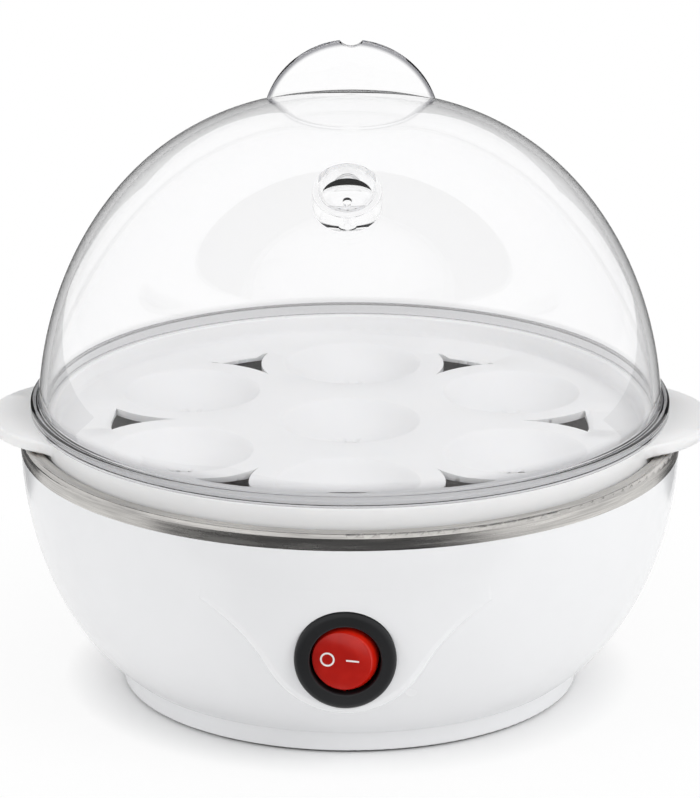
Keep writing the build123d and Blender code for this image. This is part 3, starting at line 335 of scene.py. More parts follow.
# Painted shade on clear plastic: grey painted up from the lid's rim and round the edge of its fin
PAINTED_SHADE_GREY = (0.26, 0.26, 0.28, 1.0)
RIM_SHARE = 0.5
EDGE_POWER = 3.4
RIM_GREY_END = LID_RIM_Z + LID_RIM_THICKNESS
RIM_CLEAR_START = LID_RIM_Z + 2 * LID_RIM_THICKNESS
FIN_GREY_START = FIN_RADIUS - 1.4 * FIN_EDGE_ROUND
FIN_GREY_FULL = FIN_RADIUS - 0.6 * FIN_EDGE_ROUND
FIN_GREY_HALF = FIN_THICKNESS / 2 + 0.05 * MM
FIN_CLEAR_HALF = FIN_THICKNESS / 2 + 0.15 * MM

# How far a surface of the rocker faces the way its face does, from 0 to 1, which sets its painted shade and
# painted highlight
FACE_START = 0.94
FACE_FULL = 0.965
SIDE_FULL = 0.48
SIDE_END = 0.58


def start_material(name, **constants):
    """Material with one Principled shader, whose constants are set on its own sockets."""
    material = bpy.data.materials.new(name)
    material.use_nodes = True
    tree = material.node_tree
    shader = tree.nodes["Principled BSDF"]
    for label, value in constants.items():
        shader.inputs[label.replace("_", " ")].default_value = value
    return material, tree, shader.inputs


def surfaced(name, group, effect, first, second, **constants):
    """Material whose colour, shine and relief come from one shared effect."""
    material, tree, shader = start_material(name, **constants)
    surface = use_group(tree, group, effect)
    tree.links.new(blend_colours(tree, surface["Tone"], first, second), shader["Base Color"])
    tree.links.new(surface["Roughness"], shader["Roughness"])
    tree.links.new(surface["Normal"], shader["Normal"])
    return material


def moulding(name, first, second, roughness, wave=0.012, grain=0.002, spread=0.04, **constants):
    """Moulded plastic or rubber. The depths of its wave and grain are in millimetres."""
    effect = {
        "Wave Depth": wave * MM,
        "Grain Depth": grain * MM,
        "Roughness": roughness,
        "Roughness Spread": spread,
    }
    return surfaced(name, MOULDED_SKIN, effect, first, second, **constants)


def sheet_metal(name, first, second, roughness, pitch, depth, **constants):
    """Brushed or spun sheet. The pitch and depth of its lines are in millimetres."""
    effect = {
        "Line Pitch": pitch * MM,
        "Line Depth": depth * MM,
        "Roughness": roughness,
    }
    return surfaced(name, TURNED_LINES, effect, first, second, Metallic=1.0, **constants)


def let_lamps_through(tree, tint):
    """Clear plastic stops no lamp: rays from lamps pass it with a slight loss."""
    output = tree.nodes["Material Output"]
    shader = tree.nodes["Principled BSDF"]
    rays = add_node(tree, "ShaderNodeLightPath")
    clear = add_node(tree, "ShaderNodeBsdfTransparent", {"Color": tint})
    through = calculate(
        tree, "MAXIMUM", rays.outputs["Is Shadow Ray"], rays.outputs["Is Diffuse Ray"]
    )
    mixed = add_node(
        tree, "ShaderNodeMixShader", {0: through, 1: shader.outputs["BSDF"], 2: clear.outputs["BSDF"]}
    )
    tree.links.new(mixed.outputs["Shader"], output.inputs["Surface"])


def clear_moulding(name, middle, edge, tint, edge_start, roughness, painted_shade=None):
    """Polished clear plastic, with painted shade: dark grey on front faces seen edge-on, and grey where the
    painted-shade mask says.
    """
    material, tree, shader = start_material(name, IOR=1.49, Transmission_Weight=1.0)
    facing = add_node(tree, "ShaderNodeLayerWeight", {"Blend": 0.5}).outputs["Facing"]
    # Painted shade: the colour turns dark grey on front faces seen edge-on, standing in for dark surroundings seen
    # through the outline.
    painted_edge_shade = calculate(tree, "POWER", stretch(tree, facing, edge_start, 1.0), EDGE_POWER)
    outside = calculate(tree, "SUBTRACT", 1.0, add_node(tree, "ShaderNodeNewGeometry").outputs["Backfacing"])
    painted_edge_shade = calculate(tree, "MULTIPLY", painted_edge_shade, outside)
    if painted_shade:
        # Painted shade: the rim and fin edge turn grey by the mask, standing in for dark surroundings seen through
        # them.
        middle = blend_colours(tree, painted_shade(tree), middle, PAINTED_SHADE_GREY)
    tree.links.new(blend_colours(tree, painted_edge_shade, middle, edge), shader["Base Color"])
    marks = use_group(tree, FINE_MARKS, {"Mark Size": 0.014, "Amount": 0.05})
    tree.links.new(calculate(tree, "ADD", marks["Mask"], roughness), shader["Roughness"])
    let_lamps_through(tree, tint)
    return material


def lid_painted_shade(tree):
    """Mask of painted shade on the lid: grey fading upward from its rim, and round the edge of its fin."""
    place = object_place(tree)
    along = add_node(tree, "ShaderNodeSeparateXYZ", {"Vector": place}).outputs
    rim = stretch(tree, along["Z"], RIM_GREY_END, RIM_CLEAR_START, 1.0, 0.0)
    up = calculate(tree, "SUBTRACT", along["Z"], FIN_Z)
    across = add_node(tree, "ShaderNodeCombineXYZ", {"X": along["X"], "Y": 0.0, "Z": up}).outputs[0]
    reach = add_node(tree, "ShaderNodeVectorMath", {0: across}, operation="LENGTH").outputs["Value"]
    fin_edge = stretch(tree, reach, FIN_GREY_START, FIN_GREY_FULL)
    above = stretch(tree, along["Z"], FIN_FOOT_Z, FIN_FOOT_Z + FIN_EDGE_ROUND)
    off_middle = calculate(tree, "ABSOLUTE", calculate(tree, "SUBTRACT", along["Y"], FIN_BACK))
    in_fin = stretch(tree, off_middle, FIN_GREY_HALF, FIN_CLEAR_HALF, 1.0, 0.0)
    fin_grey = calculate(tree, "MULTIPLY", fin_edge, calculate(tree, "MULTIPLY", above, in_fin))
    return calculate(tree, "MAXIMUM", calculate(tree, "MULTIPLY", rim, RIM_SHARE), fin_grey)


def gloss_white():
    return moulding(
        "gloss white plastic",
        (0.845, 0.85, 0.862, 1.0),
        (0.868, 0.872, 0.884, 1.0),
        0.24,
        wave=0.01,
        grain=0.0012,
        Coat_Weight=0.25,
        Coat_Roughness=0.12,
    )


def tray_white():
    return moulding(
        "tray white plastic",
        (0.86, 0.86, 0.862, 1.0),
        (0.885, 0.884, 0.884, 1.0),
        0.32,
        wave=0.012,
        grain=0.002,
        Subsurface_Weight=0.15,
        Subsurface_Radius=(1.0, 0.9, 0.8),
        Subsurface_Scale=0.002,
    )


def clear_plastic():
    return clear_moulding(
        "clear plastic",
        (0.996, 0.996, 0.999, 1.0),
        (0.06, 0.06, 0.066, 1.0),
        (0.975, 0.975, 0.98, 1.0),
        0.52,
        0.01,
        lid_painted_shade,
    )


def band_steel():
    return sheet_metal(
        "brushed band steel",
        (0.42, 0.41, 0.395, 1.0),
        (0.72, 0.7, 0.67, 1.0),
        0.23,
        pitch=0.22,
        depth=0.003,
        Anisotropic=0.5,
    )


# Painted shade: its colour is darkened far below that of steel, for the pan seen in the shade under the tray.
def pan_steel():
    return sheet_metal(
        "pressed pan steel", (0.12, 0.1, 0.085, 1.0), (0.22, 0.19, 0.165, 1.0), 0.36, pitch=0.35, depth=0.002
    )


def plain_aluminium():
    return sheet_metal(
        "plain aluminium", (0.62, 0.62, 0.63, 1.0), (0.78, 0.78, 0.79, 1.0), 0.38, pitch=0.5, depth=0.004
    )


def heater_sheath():
    return moulding(
        "heater sheath",
        (0.2, 0.19, 0.185, 1.0),
        (0.36, 0.34, 0.32, 1.0),
        0.42,
        grain=0.006,
        spread=0.1,
        Metallic=1.0,
    )


def zinc_plating():
    return moulding(
        "zinc plating",
        (0.55, 0.56, 0.59, 1.0),
        (0.72, 0.73, 0.74, 1.0),
        0.3,
        grain=0.003,
        spread=0.08,
        Metallic=1.0,
    )


def stamped_brass():
    return moulding(
        "stamped brass",
        (0.62, 0.46, 0.18, 1.0),
        (0.8, 0.63, 0.3, 1.0),
        0.28,
        grain=0.003,
        spread=0.08,
        Metallic=1.0,
    )


def bead_ceramic():
    return moulding("bead ceramic", (0.78, 0.76, 0.7, 1.0), (0.88, 0.86, 0.81, 1.0), 0.55, grain=0.01)


def black_plastic():
    return moulding(
        "black plastic",
        (0.009, 0.0095, 0.0105, 1.0),
        (0.015, 0.0155, 0.017, 1.0),
        0.42,
        wave=0.01,
        grain=0.004,
        Specular_IOR_Level=0.32,
    )


def grey_rubber():
    return moulding("grey rubber", (0.1, 0.1, 0.105, 1.0), (0.16, 0.16, 0.165, 1.0), 0.7, grain=0.02)


def white_rubber():
    return moulding("white rubber", (0.74, 0.74, 0.73, 1.0), (0.8, 0.8, 0.79, 1.0), 0.6, grain=0.012)


def insulation(name, first, second):
    return moulding(name, first, second, 0.45, grain=0.006)


def mark_paint():
    return moulding("mark paint", (0.84, 0.8, 0.79, 1.0), (0.9, 0.87, 0.86, 1.0), 0.5, grain=0.004)


def red_plastic():
    """Red moulding of the rocker: deep red on its face, with painted shade dark round its corner and a painted
    highlight bright on its side.
    """
    material, tree, shader = start_material(
        "red plastic",
        IOR=1.49,
        Subsurface_Weight=0.3,
        Subsurface_Radius=(1.0, 0.12, 0.08),
        Subsurface_Scale=0.003,
        Specular_IOR_Level=0.35,
        Coat_Weight=0.15,
        Coat_Roughness=0.08,
    )
    skin = use_group(
        tree,
        MOULDED_SKIN,
        {"Wave Size": 0.006, "Wave Depth": 0.01 * MM, "Grain Depth": 0.001 * MM, "Roughness": 0.16},
    )
    square = add_node(tree, "ShaderNodeTexCoord").outputs["Normal"]
    forward = add_node(
        tree,
        "ShaderNodeVectorMath",
        {0: square, 1: (-math.sin(ROCKER_TILT), -math.cos(ROCKER_TILT), 0.0)},
        operation="DOT_PRODUCT",
    ).outputs["Value"]
    # Painted light: the colour follows which way each surface faces, a painted dark shade round the corner and a
    # painted highlight on the side.
    on_face = stretch(tree, forward, FACE_START, FACE_FULL)
    on_side = stretch(tree, forward, SIDE_FULL, SIDE_END, 1.0, 0.0)
    side = blend_colours(tree, skin["Tone"], (0.5, 0.008, 0.003, 1.0), (0.7, 0.02, 0.006, 1.0))
    face = blend_colours(tree, skin["Tone"], (0.42, 0.01, 0.006, 1.0), (0.62, 0.02, 0.011, 1.0))
    corner = blend_colours(tree, on_side, (0.07, 0.004, 0.003, 1.0), side)
    tree.links.new(blend_colours(tree, on_face, corner, face), shader["Base Color"])
    tree.links.new(skin["Roughness"], shader["Roughness"])
    tree.links.new(skin["Normal"], shader["Normal"])
    return material


def lamp_glass():
    return clear_moulding(
        "lamp glass", (0.95, 0.82, 0.74, 1.0), (0.5, 0.4, 0.36, 1.0), (0.95, 0.9, 0.86, 1.0), 0.4, 0.03
    )


FINISHES = {
    "white_plastic": gloss_white(),
    "clear_plastic": clear_plastic(),
    "band_steel": band_steel(),
    "pan_steel": pan_steel(),
    "aluminium_plate": plain_aluminium(),
    "sheath_steel": heater_sheath(),
    "bead_ceramic": bead_ceramic(),
    "zinc_steel": zinc_plating(),
    "black_plastic": black_plastic(),
    "contact_brass": stamped_brass(),
    "grey_rubber": grey_rubber(),
    "white_rubber": white_rubber(),
    "lamp_glass": lamp_glass(),
    "red_plastic": red_plastic(),
    "brown_insulation": insulation("brown insulation", (0.12, 0.045, 0.02, 1.0), (0.17, 0.065, 0.03, 1.0)),
    "blue_insulation": insulation("blue insulation", (0.02, 0.07, 0.32, 1.0), (0.03, 0.1, 0.42, 1.0)),
    "white_insulation": insulation("white insulation", (0.7, 0.68, 0.63, 1.0), (0.78, 0.76, 0.72, 1.0)),
    "cap_plastic": insulation("cap plastic", (0.66, 0.63, 0.55, 1.0), (0.72, 0.7, 0.62, 1.0)),
}
OWN_FINISHES = {"egg_tray": tray_white()}


def finish_solids():
    """Gives each solid the material of its slot in the record."""
    for part in frame["record"]["subparts"]:
        name = part["node"]
        solid = frame["nodes"][name]
        material = OWN_FINISHES.get(name, FINISHES[part["material_slot"]])
        solid.data.materials.clear()
        solid.data.materials.append(material)


# Helpers for modelling

def new_piece(name):
    """The primitive that was just added, named, in edit mode and wholly selected."""
    piece = bpy.context.object
    piece.name = name
    piece.data.name = name
    bpy.ops.object.mode_set(mode="EDIT")
    bpy.ops.mesh.select_all(action="SELECT")
    return piece


def settle_place():
    """Back to object mode, with the piece's place moved into its mesh."""
    bpy.ops.object.mode_set(mode="OBJECT")
    bpy.ops.object.transform_apply(location=True, rotation=True, scale=True)


def spun_piece(name, profile, steps):
    """Closed solid of revolution about Z, from a profile of (radius, height) that ends on the axis."""
    bpy.ops.object.select_all(action="DESELECT")
    points = [Vector((radius, 0, height)) for radius, height in profile]
    bpy.ops.mesh.primitive_plane_add(size=MM, location=points[0])
    piece = new_piece(name)
    bpy.ops.mesh.merge(type="CENTER")
    for before, point in zip(points, points[1:]):
        bpy.ops.mesh.extrude_vertices_move(TRANSFORM_OT_translate={"value": point - before})
    bpy.ops.mesh.select_all(action="SELECT")
    bpy.ops.mesh.spin(steps=steps, angle=2 * math.pi, center=(0, 0, 0), axis=(0, 0, 1))
    bpy.ops.mesh.select_all(action="SELECT")
    bpy.ops.mesh.remove_doubles(threshold=WELD)
    bpy.ops.mesh.normals_make_consistent(inside=False)
    settle_place()
    return piece


def arc(centre, radius, start, end, steps):
    """Points of a round corner, from one angle in degrees to another."""
    turns = [math.radians(start + (end - start) * step / steps) for step in range(steps + 1)]
    return [(centre[0] + radius * math.cos(turn), centre[1] + radius * math.sin(turn)) for turn in turns]


def combine(piece, other, operation):
    """Joins another solid to the piece or cuts it away, and removes it."""
    tool = piece.modifiers.new("combine", "BOOLEAN")
    tool.operation = operation
    tool.solver = "EXACT"
    tool.object = other
    bpy.context.view_layer.objects.active = piece
    bpy.ops.object.modifier_apply(modifier="combine")
    bpy.data.objects.remove(other)


def round_edges(piece, width):
    """Rounds the piece's sharp edges."""
    rounding = piece.modifiers.new("rounding", "BEVEL")
    rounding.width = width
    rounding.segments = ROUND_STEPS
    rounding.limit_method = "ANGLE"
    rounding.angle_limit = ROUND_ABOVE
    bpy.ops.object.modifier_apply(modifier="rounding")


# Clear lid

def lid_curve(inset, low_z):
    """Points of the dome's curve, drawn in by inset, from the axis down to low_z."""
    width = LID_CURVE_WIDTH - inset
    depth = LID_CURVE_DEPTH - inset
    low = math.asin((low_z - LID_CURVE_Z) / depth)
    points = [(0.0, LID_CURVE_Z + depth)]
    for step in range(LID_CURVE_STEPS + 1):
        turn = math.pi / 2 - (math.pi / 2 - low) * step / LID_CURVE_STEPS
        points.append((LID_CURVE_CENTRE + width * math.cos(turn), LID_CURVE_Z + depth * math.sin(turn)))
    return points


def lid_profile():
    """Section of the dome and its rim, from the top's outside round to the top's inside."""
    rim_top = LID_RIM_Z + LID_RIM_THICKNESS
    outside = lid_curve(0.0, rim_top + LID_FLARE_ROUND)
    inside = lid_curve(LID_WALL, LID_RIM_Z + LID_FOOT_ROUND)
    flare_centre = (outside[-1][0] + LID_FLARE_ROUND, rim_top + LID_FLARE_ROUND)
    rim_centre = (LID_RIM_RADIUS - LID_RIM_ROUND, rim_top - LID_RIM_ROUND)
    foot_height = LID_RIM_Z + LID_FOOT_ROUND
    profile = outside[:-1]
    profile += arc(flare_centre, LID_FLARE_ROUND, 180, 270, ROUND_STEPS)
    profile += arc(rim_centre, LID_RIM_ROUND, 90, 0, ROUND_STEPS)
    profile += arc((LID_RIM_RADIUS - LID_FOOT_ROUND, foot_height), LID_FOOT_ROUND, 0, -90, ROUND_STEPS)
    profile += arc((inside[-1][0] + LID_FOOT_ROUND, foot_height), LID_FOOT_ROUND, -90, -180, ROUND_STEPS)
    profile += inside[-2::-1]
    return profile


def fin_piece():
    """Fin: a half disc with a notch in its top and rounded edges, let into the dome's wall."""
    bpy.ops.object.select_all(action="DESELECT")
    bpy.ops.mesh.primitive_circle_add(
        vertices=FIN_STEPS,
        radius=FIN_RADIUS,
        fill_type="NGON",
        location=(0, FIN_BACK - FIN_THICKNESS / 2, FIN_Z),
        rotation=(math.pi / 2, 0, 0),
    )
    fin = new_piece("fin")
    bpy.ops.mesh.bisect(plane_co=(0, 0, FIN_FOOT_Z), plane_no=(0, 0, 1), clear_inner=True)
    bpy.ops.mesh.select_all(action="SELECT")
    bpy.ops.mesh.extrude_region_move(TRANSFORM_OT_translate={"value": (0, FIN_THICKNESS, 0)})
    bpy.ops.mesh.select_all(action="SELECT")
    bpy.ops.mesh.normals_make_consistent(inside=False)
    settle_place()
    notch_radius = ((NOTCH_WIDTH / 2) ** 2 + NOTCH_DEPTH**2) / (2 * NOTCH_DEPTH)
    bpy.ops.object.select_all(action="DESELECT")
    bpy.ops.mesh.primitive_cylinder_add(
        vertices=FIN_STEPS // 2,
        radius=notch_radius,
        depth=FIN_THICKNESS * 2,
        location=(0, FIN_BACK, FIN_Z + FIN_RADIUS - NOTCH_DEPTH + notch_radius),
        rotation=(math.pi / 2, 0, 0),
    )
    combine(fin, bpy.context.object, "DIFFERENCE")
    round_edges(fin, FIN_EDGE_ROUND)
    return fin


def boss_turn():
    """Place and slope of the vent boss, square to the dome's front."""
    reach = (BOSS_DISTANCE - LID_CURVE_CENTRE) / LID_CURVE_WIDTH
    rise = LID_CURVE_DEPTH * math.sqrt(1 - reach**2)
    slope = math.atan(LID_CURVE_DEPTH**2 * reach / (LID_CURVE_WIDTH * rise))
    place = Vector((0, -BOSS_DISTANCE, LID_CURVE_Z + rise))
    return Matrix.Translation(place) @ Matrix.Rotation(slope, 4, "X")


def boss_pieces():
    """The boss, and the funnel and steam hole that are cut from it."""
    top_centre = (BOSS_RADIUS - BOSS_EDGE_ROUND, BOSS_HEIGHT - BOSS_EDGE_ROUND)
    outer = [(0, -BOSS_ROOT), (BOSS_RADIUS, -BOSS_ROOT)]
    outer += arc(top_centre, BOSS_EDGE_ROUND, 0, 90, ROUND_STEPS) + [(0, BOSS_HEIGHT)]
    funnel_foot = BOSS_HEIGHT - FUNNEL_DEPTH
    bowl_radius = (FUNNEL_RADIUS**2 + FUNNEL_DEPTH**2) / (2 * FUNNEL_DEPTH)
    hole_end = -90 + math.degrees(math.asin(STEAM_HOLE_RADIUS / bowl_radius))
    bowl_end = math.degrees(math.asin((FUNNEL_DEPTH - bowl_radius) / bowl_radius))
    inner = [(0, -4 * LID_WALL), (STEAM_HOLE_RADIUS, -4 * LID_WALL)]
    inner += arc((0, funnel_foot + bowl_radius), bowl_radius, hole_end, bowl_end, 2 * ROUND_STEPS)
    inner += [(FUNNEL_RADIUS, BOSS_HEIGHT + LID_WALL), (0, BOSS_HEIGHT + LID_WALL)]
    pieces = [spun_piece("boss", outer, BOSS_STEPS), spun_piece("funnel", inner, BOSS_STEPS)]
    for piece in pieces:
        piece.data.transform(boss_turn())
    return pieces


def clear_lid():
    """The lid in one clear moulding: dome, rim, fin and boss."""
    lid = spun_piece("clear_lid", lid_profile(), LID_SPIN_STEPS)
    boss, funnel = boss_pieces()
    combine(lid, fin_piece(), "UNION")
    combine(lid, boss, "UNION")
    combine(lid, funnel, "DIFFERENCE")
    bpy.ops.object.select_all(action="DESELECT")
    lid.select_set(True)
    bpy.ops.object.shade_smooth_by_angle(angle=SMOOTH_BELOW)
    lid.data.materials.append(FINISHES["clear_plastic"])
    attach(lid, "lid")
    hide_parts("lid_dome")
    return lid


# Egg tray

def opening_outline():
    """The opening on +X: an arc about the tray's middle, and one about each seat beside it."""
    beside = math.pi / SEAT_COUNT
    seat_x = SEAT_PITCH_RADIUS * math.cos(beside)
    seat_y = SEAT_PITCH_RADIUS * math.sin(beside)
    squares = OPENING_OUTER_RADIUS**2 + SEAT_PITCH_RADIUS**2 - OPENING_SEAT_RADIUS**2
    between = math.acos(squares / (2 * SEAT_PITCH_RADIUS * OPENING_OUTER_RADIUS))
    corner = beside - between
    corner_x = OPENING_OUTER_RADIUS * math.cos(corner)
    corner_y = OPENING_OUTER_RADIUS * math.sin(corner)
    tip = -math.degrees(math.asin(seat_y / OPENING_SEAT_RADIUS))
    end = math.degrees(math.atan2(corner_y - seat_y, corner_x - seat_x))
    wide = math.degrees(corner)
    outline = arc((seat_x, seat_y), OPENING_SEAT_RADIUS, tip, end, OPENING_STEPS)
    outline += arc((0, 0), OPENING_OUTER_RADIUS, wide, -wide, OPENING_STEPS)[1:]
    outline += arc((seat_x, -seat_y), OPENING_SEAT_RADIUS, -end, -tip, OPENING_STEPS)[1:-1]
    return outline


def opening_cutter():
    """Six upright prisms, one for each opening."""
    low = TRAY_DISC_Z - OPENING_CUT_BELOW
    points = [Vector((x, y, low)) for x, y in opening_outline()]
    bpy.ops.object.select_all(action="DESELECT")
    bpy.ops.mesh.primitive_plane_add(size=MM, location=points[0])
    cutter = new_piece("openings")
    bpy.ops.mesh.merge(type="CENTER")
    for before, point in zip(points, points[1:]):
        bpy.ops.mesh.extrude_vertices_move(TRANSFORM_OT_translate={"value": point - before})
    bpy.ops.mesh.select_all(action="SELECT")
    bpy.ops.mesh.edge_face_add()
    bpy.ops.mesh.extrude_region_move(TRANSFORM_OT_translate={"value": (0, 0, OPENING_CUT_HEIGHT)})
    bpy.ops.mesh.select_all(action="SELECT")
    bpy.ops.mesh.normals_make_consistent(inside=False)
    bpy.ops.mesh.spin(steps=SEAT_COUNT, dupli=True, angle=2 * math.pi, center=(0, 0, 0), axis=(0, 0, 1))
    bpy.ops.mesh.select_all(action="SELECT")
    bpy.ops.mesh.remove_doubles(threshold=WELD)
    settle_place()
    return cutter


def open_tray():
    """The tray's own form, with its openings cut further in between the seats."""
    cutter = opening_cutter()
    solid = frame["nodes"]["egg_tray"]
    tray = solid.copy()
    tray.data = solid.data.copy()
    tray.name = "open_tray"
    tray.data.name = "open_tray"
    bpy.context.collection.objects.link(tray)
    bpy.ops.object.select_all(action="DESELECT")
    tray.select_set(True)
    bpy.context.view_layer.objects.active = tray
    bpy.ops.object.mode_set(mode="EDIT")
    bpy.ops.mesh.select_all(action="SELECT")
    bpy.ops.mesh.remove_doubles(threshold=WELD)
    bpy.ops.object.mode_set(mode="OBJECT")
    combine(tray, cutter, "DIFFERENCE")
    bpy.ops.object.shade_smooth_by_angle(angle=SMOOTH_BELOW)
    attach(tray, "tray")
    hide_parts("egg_tray")
    return tray


# Rocker and the marks on it

def rocker_turn():
    """Turn that lays a drawing, made flat with its face up, against the rocker's face."""
    across = Vector((math.cos(ROCKER_TILT), -math.sin(ROCKER_TILT), 0))
    up = Vector((0, 0, 1))
    return Matrix((across, up, across.cross(up))).transposed()


def rocker_pivot():
    """The rocker joint's own place."""
    return Vector(next(j["pos_m"] for j in frame["joints"] if j["child"] == "rocker"))


def rocker_piece():
    """The rocker: its face dished, its side round about the pivot, and a pin above and below."""
    edge_height = math.sqrt(ROCKER_BALL_RADIUS**2 - ROCKER_FACE_RADIUS**2)
    dish_radius = ROCKER_FACE_RADIUS / math.sin(ROCKER_DISH_ANGLE)
    dish_centre = edge_height + dish_radius * math.cos(ROCKER_DISH_ANGLE)
    low = math.degrees(math.asin(-ROCKER_BACK_DEPTH / ROCKER_BALL_RADIUS))
    high = math.degrees(math.asin(edge_height / ROCKER_BALL_RADIUS))
    dish_end = -90 + math.degrees(ROCKER_DISH_ANGLE)
    profile = arc((0, dish_centre), dish_radius, -90, dish_end, ROCKER_STEPS)
    profile += arc((0, 0), ROCKER_BALL_RADIUS, high, low, ROCKER_STEPS)[1:]
    profile.append((0, -ROCKER_BACK_DEPTH))
    rocker = spun_piece("rocker", profile, 6 * ROCKER_STEPS)
    bpy.ops.object.select_all(action="DESELECT")
    bpy.ops.mesh.primitive_cylinder_add(
        vertices=2 * ROCKER_STEPS,
        radius=ROCKER_PIN_RADIUS,
        depth=2 * ROCKER_PIN_REACH,
        rotation=(math.pi / 2, 0, 0),
    )
    combine(rocker, bpy.context.object, "UNION")
    round_edges(rocker, ROCKER_EDGE_ROUND)
    rocker.data.transform(Matrix.Translation(rocker_pivot()) @ rocker_turn().to_4x4())
    bpy.ops.object.select_all(action="DESELECT")
    rocker.select_set(True)
    bpy.ops.object.shade_smooth_by_angle(angle=SMOOTH_BELOW)
    rocker.data.materials.append(FINISHES["red_plastic"])
    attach(rocker, "rocker")
    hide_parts("rocker_button")
    return rocker


def place_on_rocker(across):
    """Place on the rocker's face at its middle height, that far across from the pivot."""
    return rocker_pivot() + rocker_turn() @ Vector((across, 0, ROCKER_FACE_HEIGHT))


def lay_on_rocker(piece):
    """Wraps a flat mark onto the rocker's face and gives it the thickness of paint."""
    wrap = piece.modifiers.new("wrap", "SHRINKWRAP")
    wrap.target = bpy.data.objects["rocker"]
    wrap.wrap_method = "NEAREST_SURFACEPOINT"
    wrap.wrap_mode = "ABOVE_SURFACE"
    wrap.offset = MARK_PROUD
    paint = piece.modifiers.new("paint", "SOLIDIFY")
    paint.thickness = MARK_THICKNESS
    paint.offset = -1.0
    for modifier in ("wrap", "paint"):
        bpy.ops.object.modifier_apply(modifier=modifier)
    piece.data.materials.append(MARK_PAINT)
    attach(piece, "rocker")


def round_mark():
    """Ring on the side that switches off."""
    bpy.ops.object.select_all(action="DESELECT")
    bpy.ops.mesh.primitive_circle_add(
        vertices=ROUND_MARK_STEPS,
        radius=ROUND_MARK_RADIUS,
        location=place_on_rocker(ROUND_MARK_PLACE),
        rotation=rocker_turn().to_euler(),
    )
    piece = new_piece("rocker_mark_off")
    for step in (1, 2):
        part_way = 1 - step * MARK_LINE / 2 / ROUND_MARK_RADIUS
        before = 1 - (step - 1) * MARK_LINE / 2 / ROUND_MARK_RADIUS
        bpy.ops.mesh.extrude_edges_move()
        bpy.ops.transform.resize(value=(part_way / before,) * 3)
    bpy.ops.mesh.select_all(action="SELECT")
    bpy.ops.mesh.normals_make_consistent(inside=False)
    settle_place()
    lay_on_rocker(piece)
    return piece


def line_mark():
    """Short line on the side that switches on."""
    bpy.ops.object.select_all(action="DESELECT")
    bpy.ops.mesh.primitive_plane_add(
        size=LINE_MARK_LENGTH,
        location=place_on_rocker(LINE_MARK_PLACE),
        rotation=rocker_turn().to_euler(),
    )
    piece = new_piece("rocker_mark_on")
    bpy.ops.transform.resize(value=(1, 1, MARK_LINE / LINE_MARK_LENGTH))
    bpy.ops.mesh.bevel(offset=LINE_MARK_ROUND, segments=LINE_MARK_ROUND_STEPS, affect="VERTICES")
    bpy.ops.mesh.select_all(action="SELECT")
    bpy.ops.mesh.subdivide(number_cuts=LINE_MARK_CUTS)
    settle_place()
    lay_on_rocker(piece)
    return piece


# Floor, light and camera

FLOOR_RADIUS = 6.0
FLOOR_CONTACT = 57.0 * MM
FLOOR_NEAR = 72.0 * MM
FLOOR_FAR = 150.0 * MM
FLOOR_NEAR_SHARE = 0.86
# Inside this radius the floor is painted dark grey: a painted contact shadow under the foot ring.
PAINTED_SHADOW_RADIUS = 55.5 * MM
FLOOR_STEPS = 96
WHITE_PAPER = (0.93, 0.93, 0.93, 1.0)
PAINTED_SHADOW_GREY = (0.25, 0.25, 0.25, 1.0)
STUDIO_GREY = (0.66, 0.66, 0.66, 1.0)
GLOSS_LOW = (0.86, 0.86, 0.87, 1.0)
GLOSS_LOW_HEIGHT = 0.05
WHITE_HEIGHT = 0.75
WHITE = (1.0, 1.0, 1.0, 1.0)
CARD_COLOUR = (0.05, 0.05, 0.052, 1.0)
CARD_FRONT = -0.52
CARD_BACK = -0.13
CARD_LEFT = -0.45
CARD_RIGHT = 0.16
FLAG_INNER = 0.125
FLAG_OUTER = 0.6
FLAG_FRONT = 0.1
FLAG_BACK = 0.9
FLAG_TOP = 0.4
CARD_HEIGHT = 0.002

# Lamps: name, place, width, height, and the share of plain white that each adds to what faces it
LAMPS = (
    ("key lamp", (1.1, -0.7, 0.95), 0.7, 0.8, 0.34),
    ("fill lamp", (-1.2, -0.7, 0.8), 0.6, 0.9, 0.2),
    ("top lamp", (0.1, 0.35, 1.4), 1.1, 0.8, 0.08),
)


def seen_rays(tree):
    """1 for rays that show the background: straight, through glass, or in a reflection."""
    rays = add_node(tree, "ShaderNodeLightPath").outputs
    seen = calculate(tree, "MAXIMUM", rays["Is Camera Ray"], rays["Is Transmission Ray"])
    return calculate(tree, "MAXIMUM", seen, rays["Is Glossy Ray"])


def light_world():
    """Even studio light. The background is white, and reflections find it greyer lower down."""
    world = bpy.data.worlds.new("studio")
    bpy.context.scene.world = world
    world.use_nodes = True
    tree = world.node_tree
    rays = add_node(tree, "ShaderNodeLightPath").outputs
    direction = add_node(tree, "ShaderNodeTexCoord").outputs["Generated"]
    height = add_node(tree, "ShaderNodeSeparateXYZ", {"Vector": direction}).outputs["Z"]
    gloss = blend_colours(tree, stretch(tree, height, GLOSS_LOW_HEIGHT, WHITE_HEIGHT), GLOSS_LOW, WHITE)
    open_white = calculate(tree, "MAXIMUM", rays["Is Camera Ray"], rays["Is Transmission Ray"])
    closed = blend_colours(tree, rays["Is Glossy Ray"], STUDIO_GREY, gloss)
    colour = blend_colours(tree, open_white, closed, WHITE)
    tree.links.new(colour, tree.nodes["Background"].inputs["Color"])


def whiten(tree, share):
    """Plain white in place of the material, by a share that may differ from ray to ray."""
    white = add_node(tree, "ShaderNodeEmission", {"Color": WHITE, "Strength": 1.0})
    mixed = add_node(
        tree,
        "ShaderNodeMixShader",
        {0: share, 1: tree.nodes["Principled BSDF"].outputs["BSDF"], 2: white.outputs["Emission"]},
    )
    tree.links.new(mixed.outputs["Shader"], tree.nodes["Material Output"].inputs["Surface"])


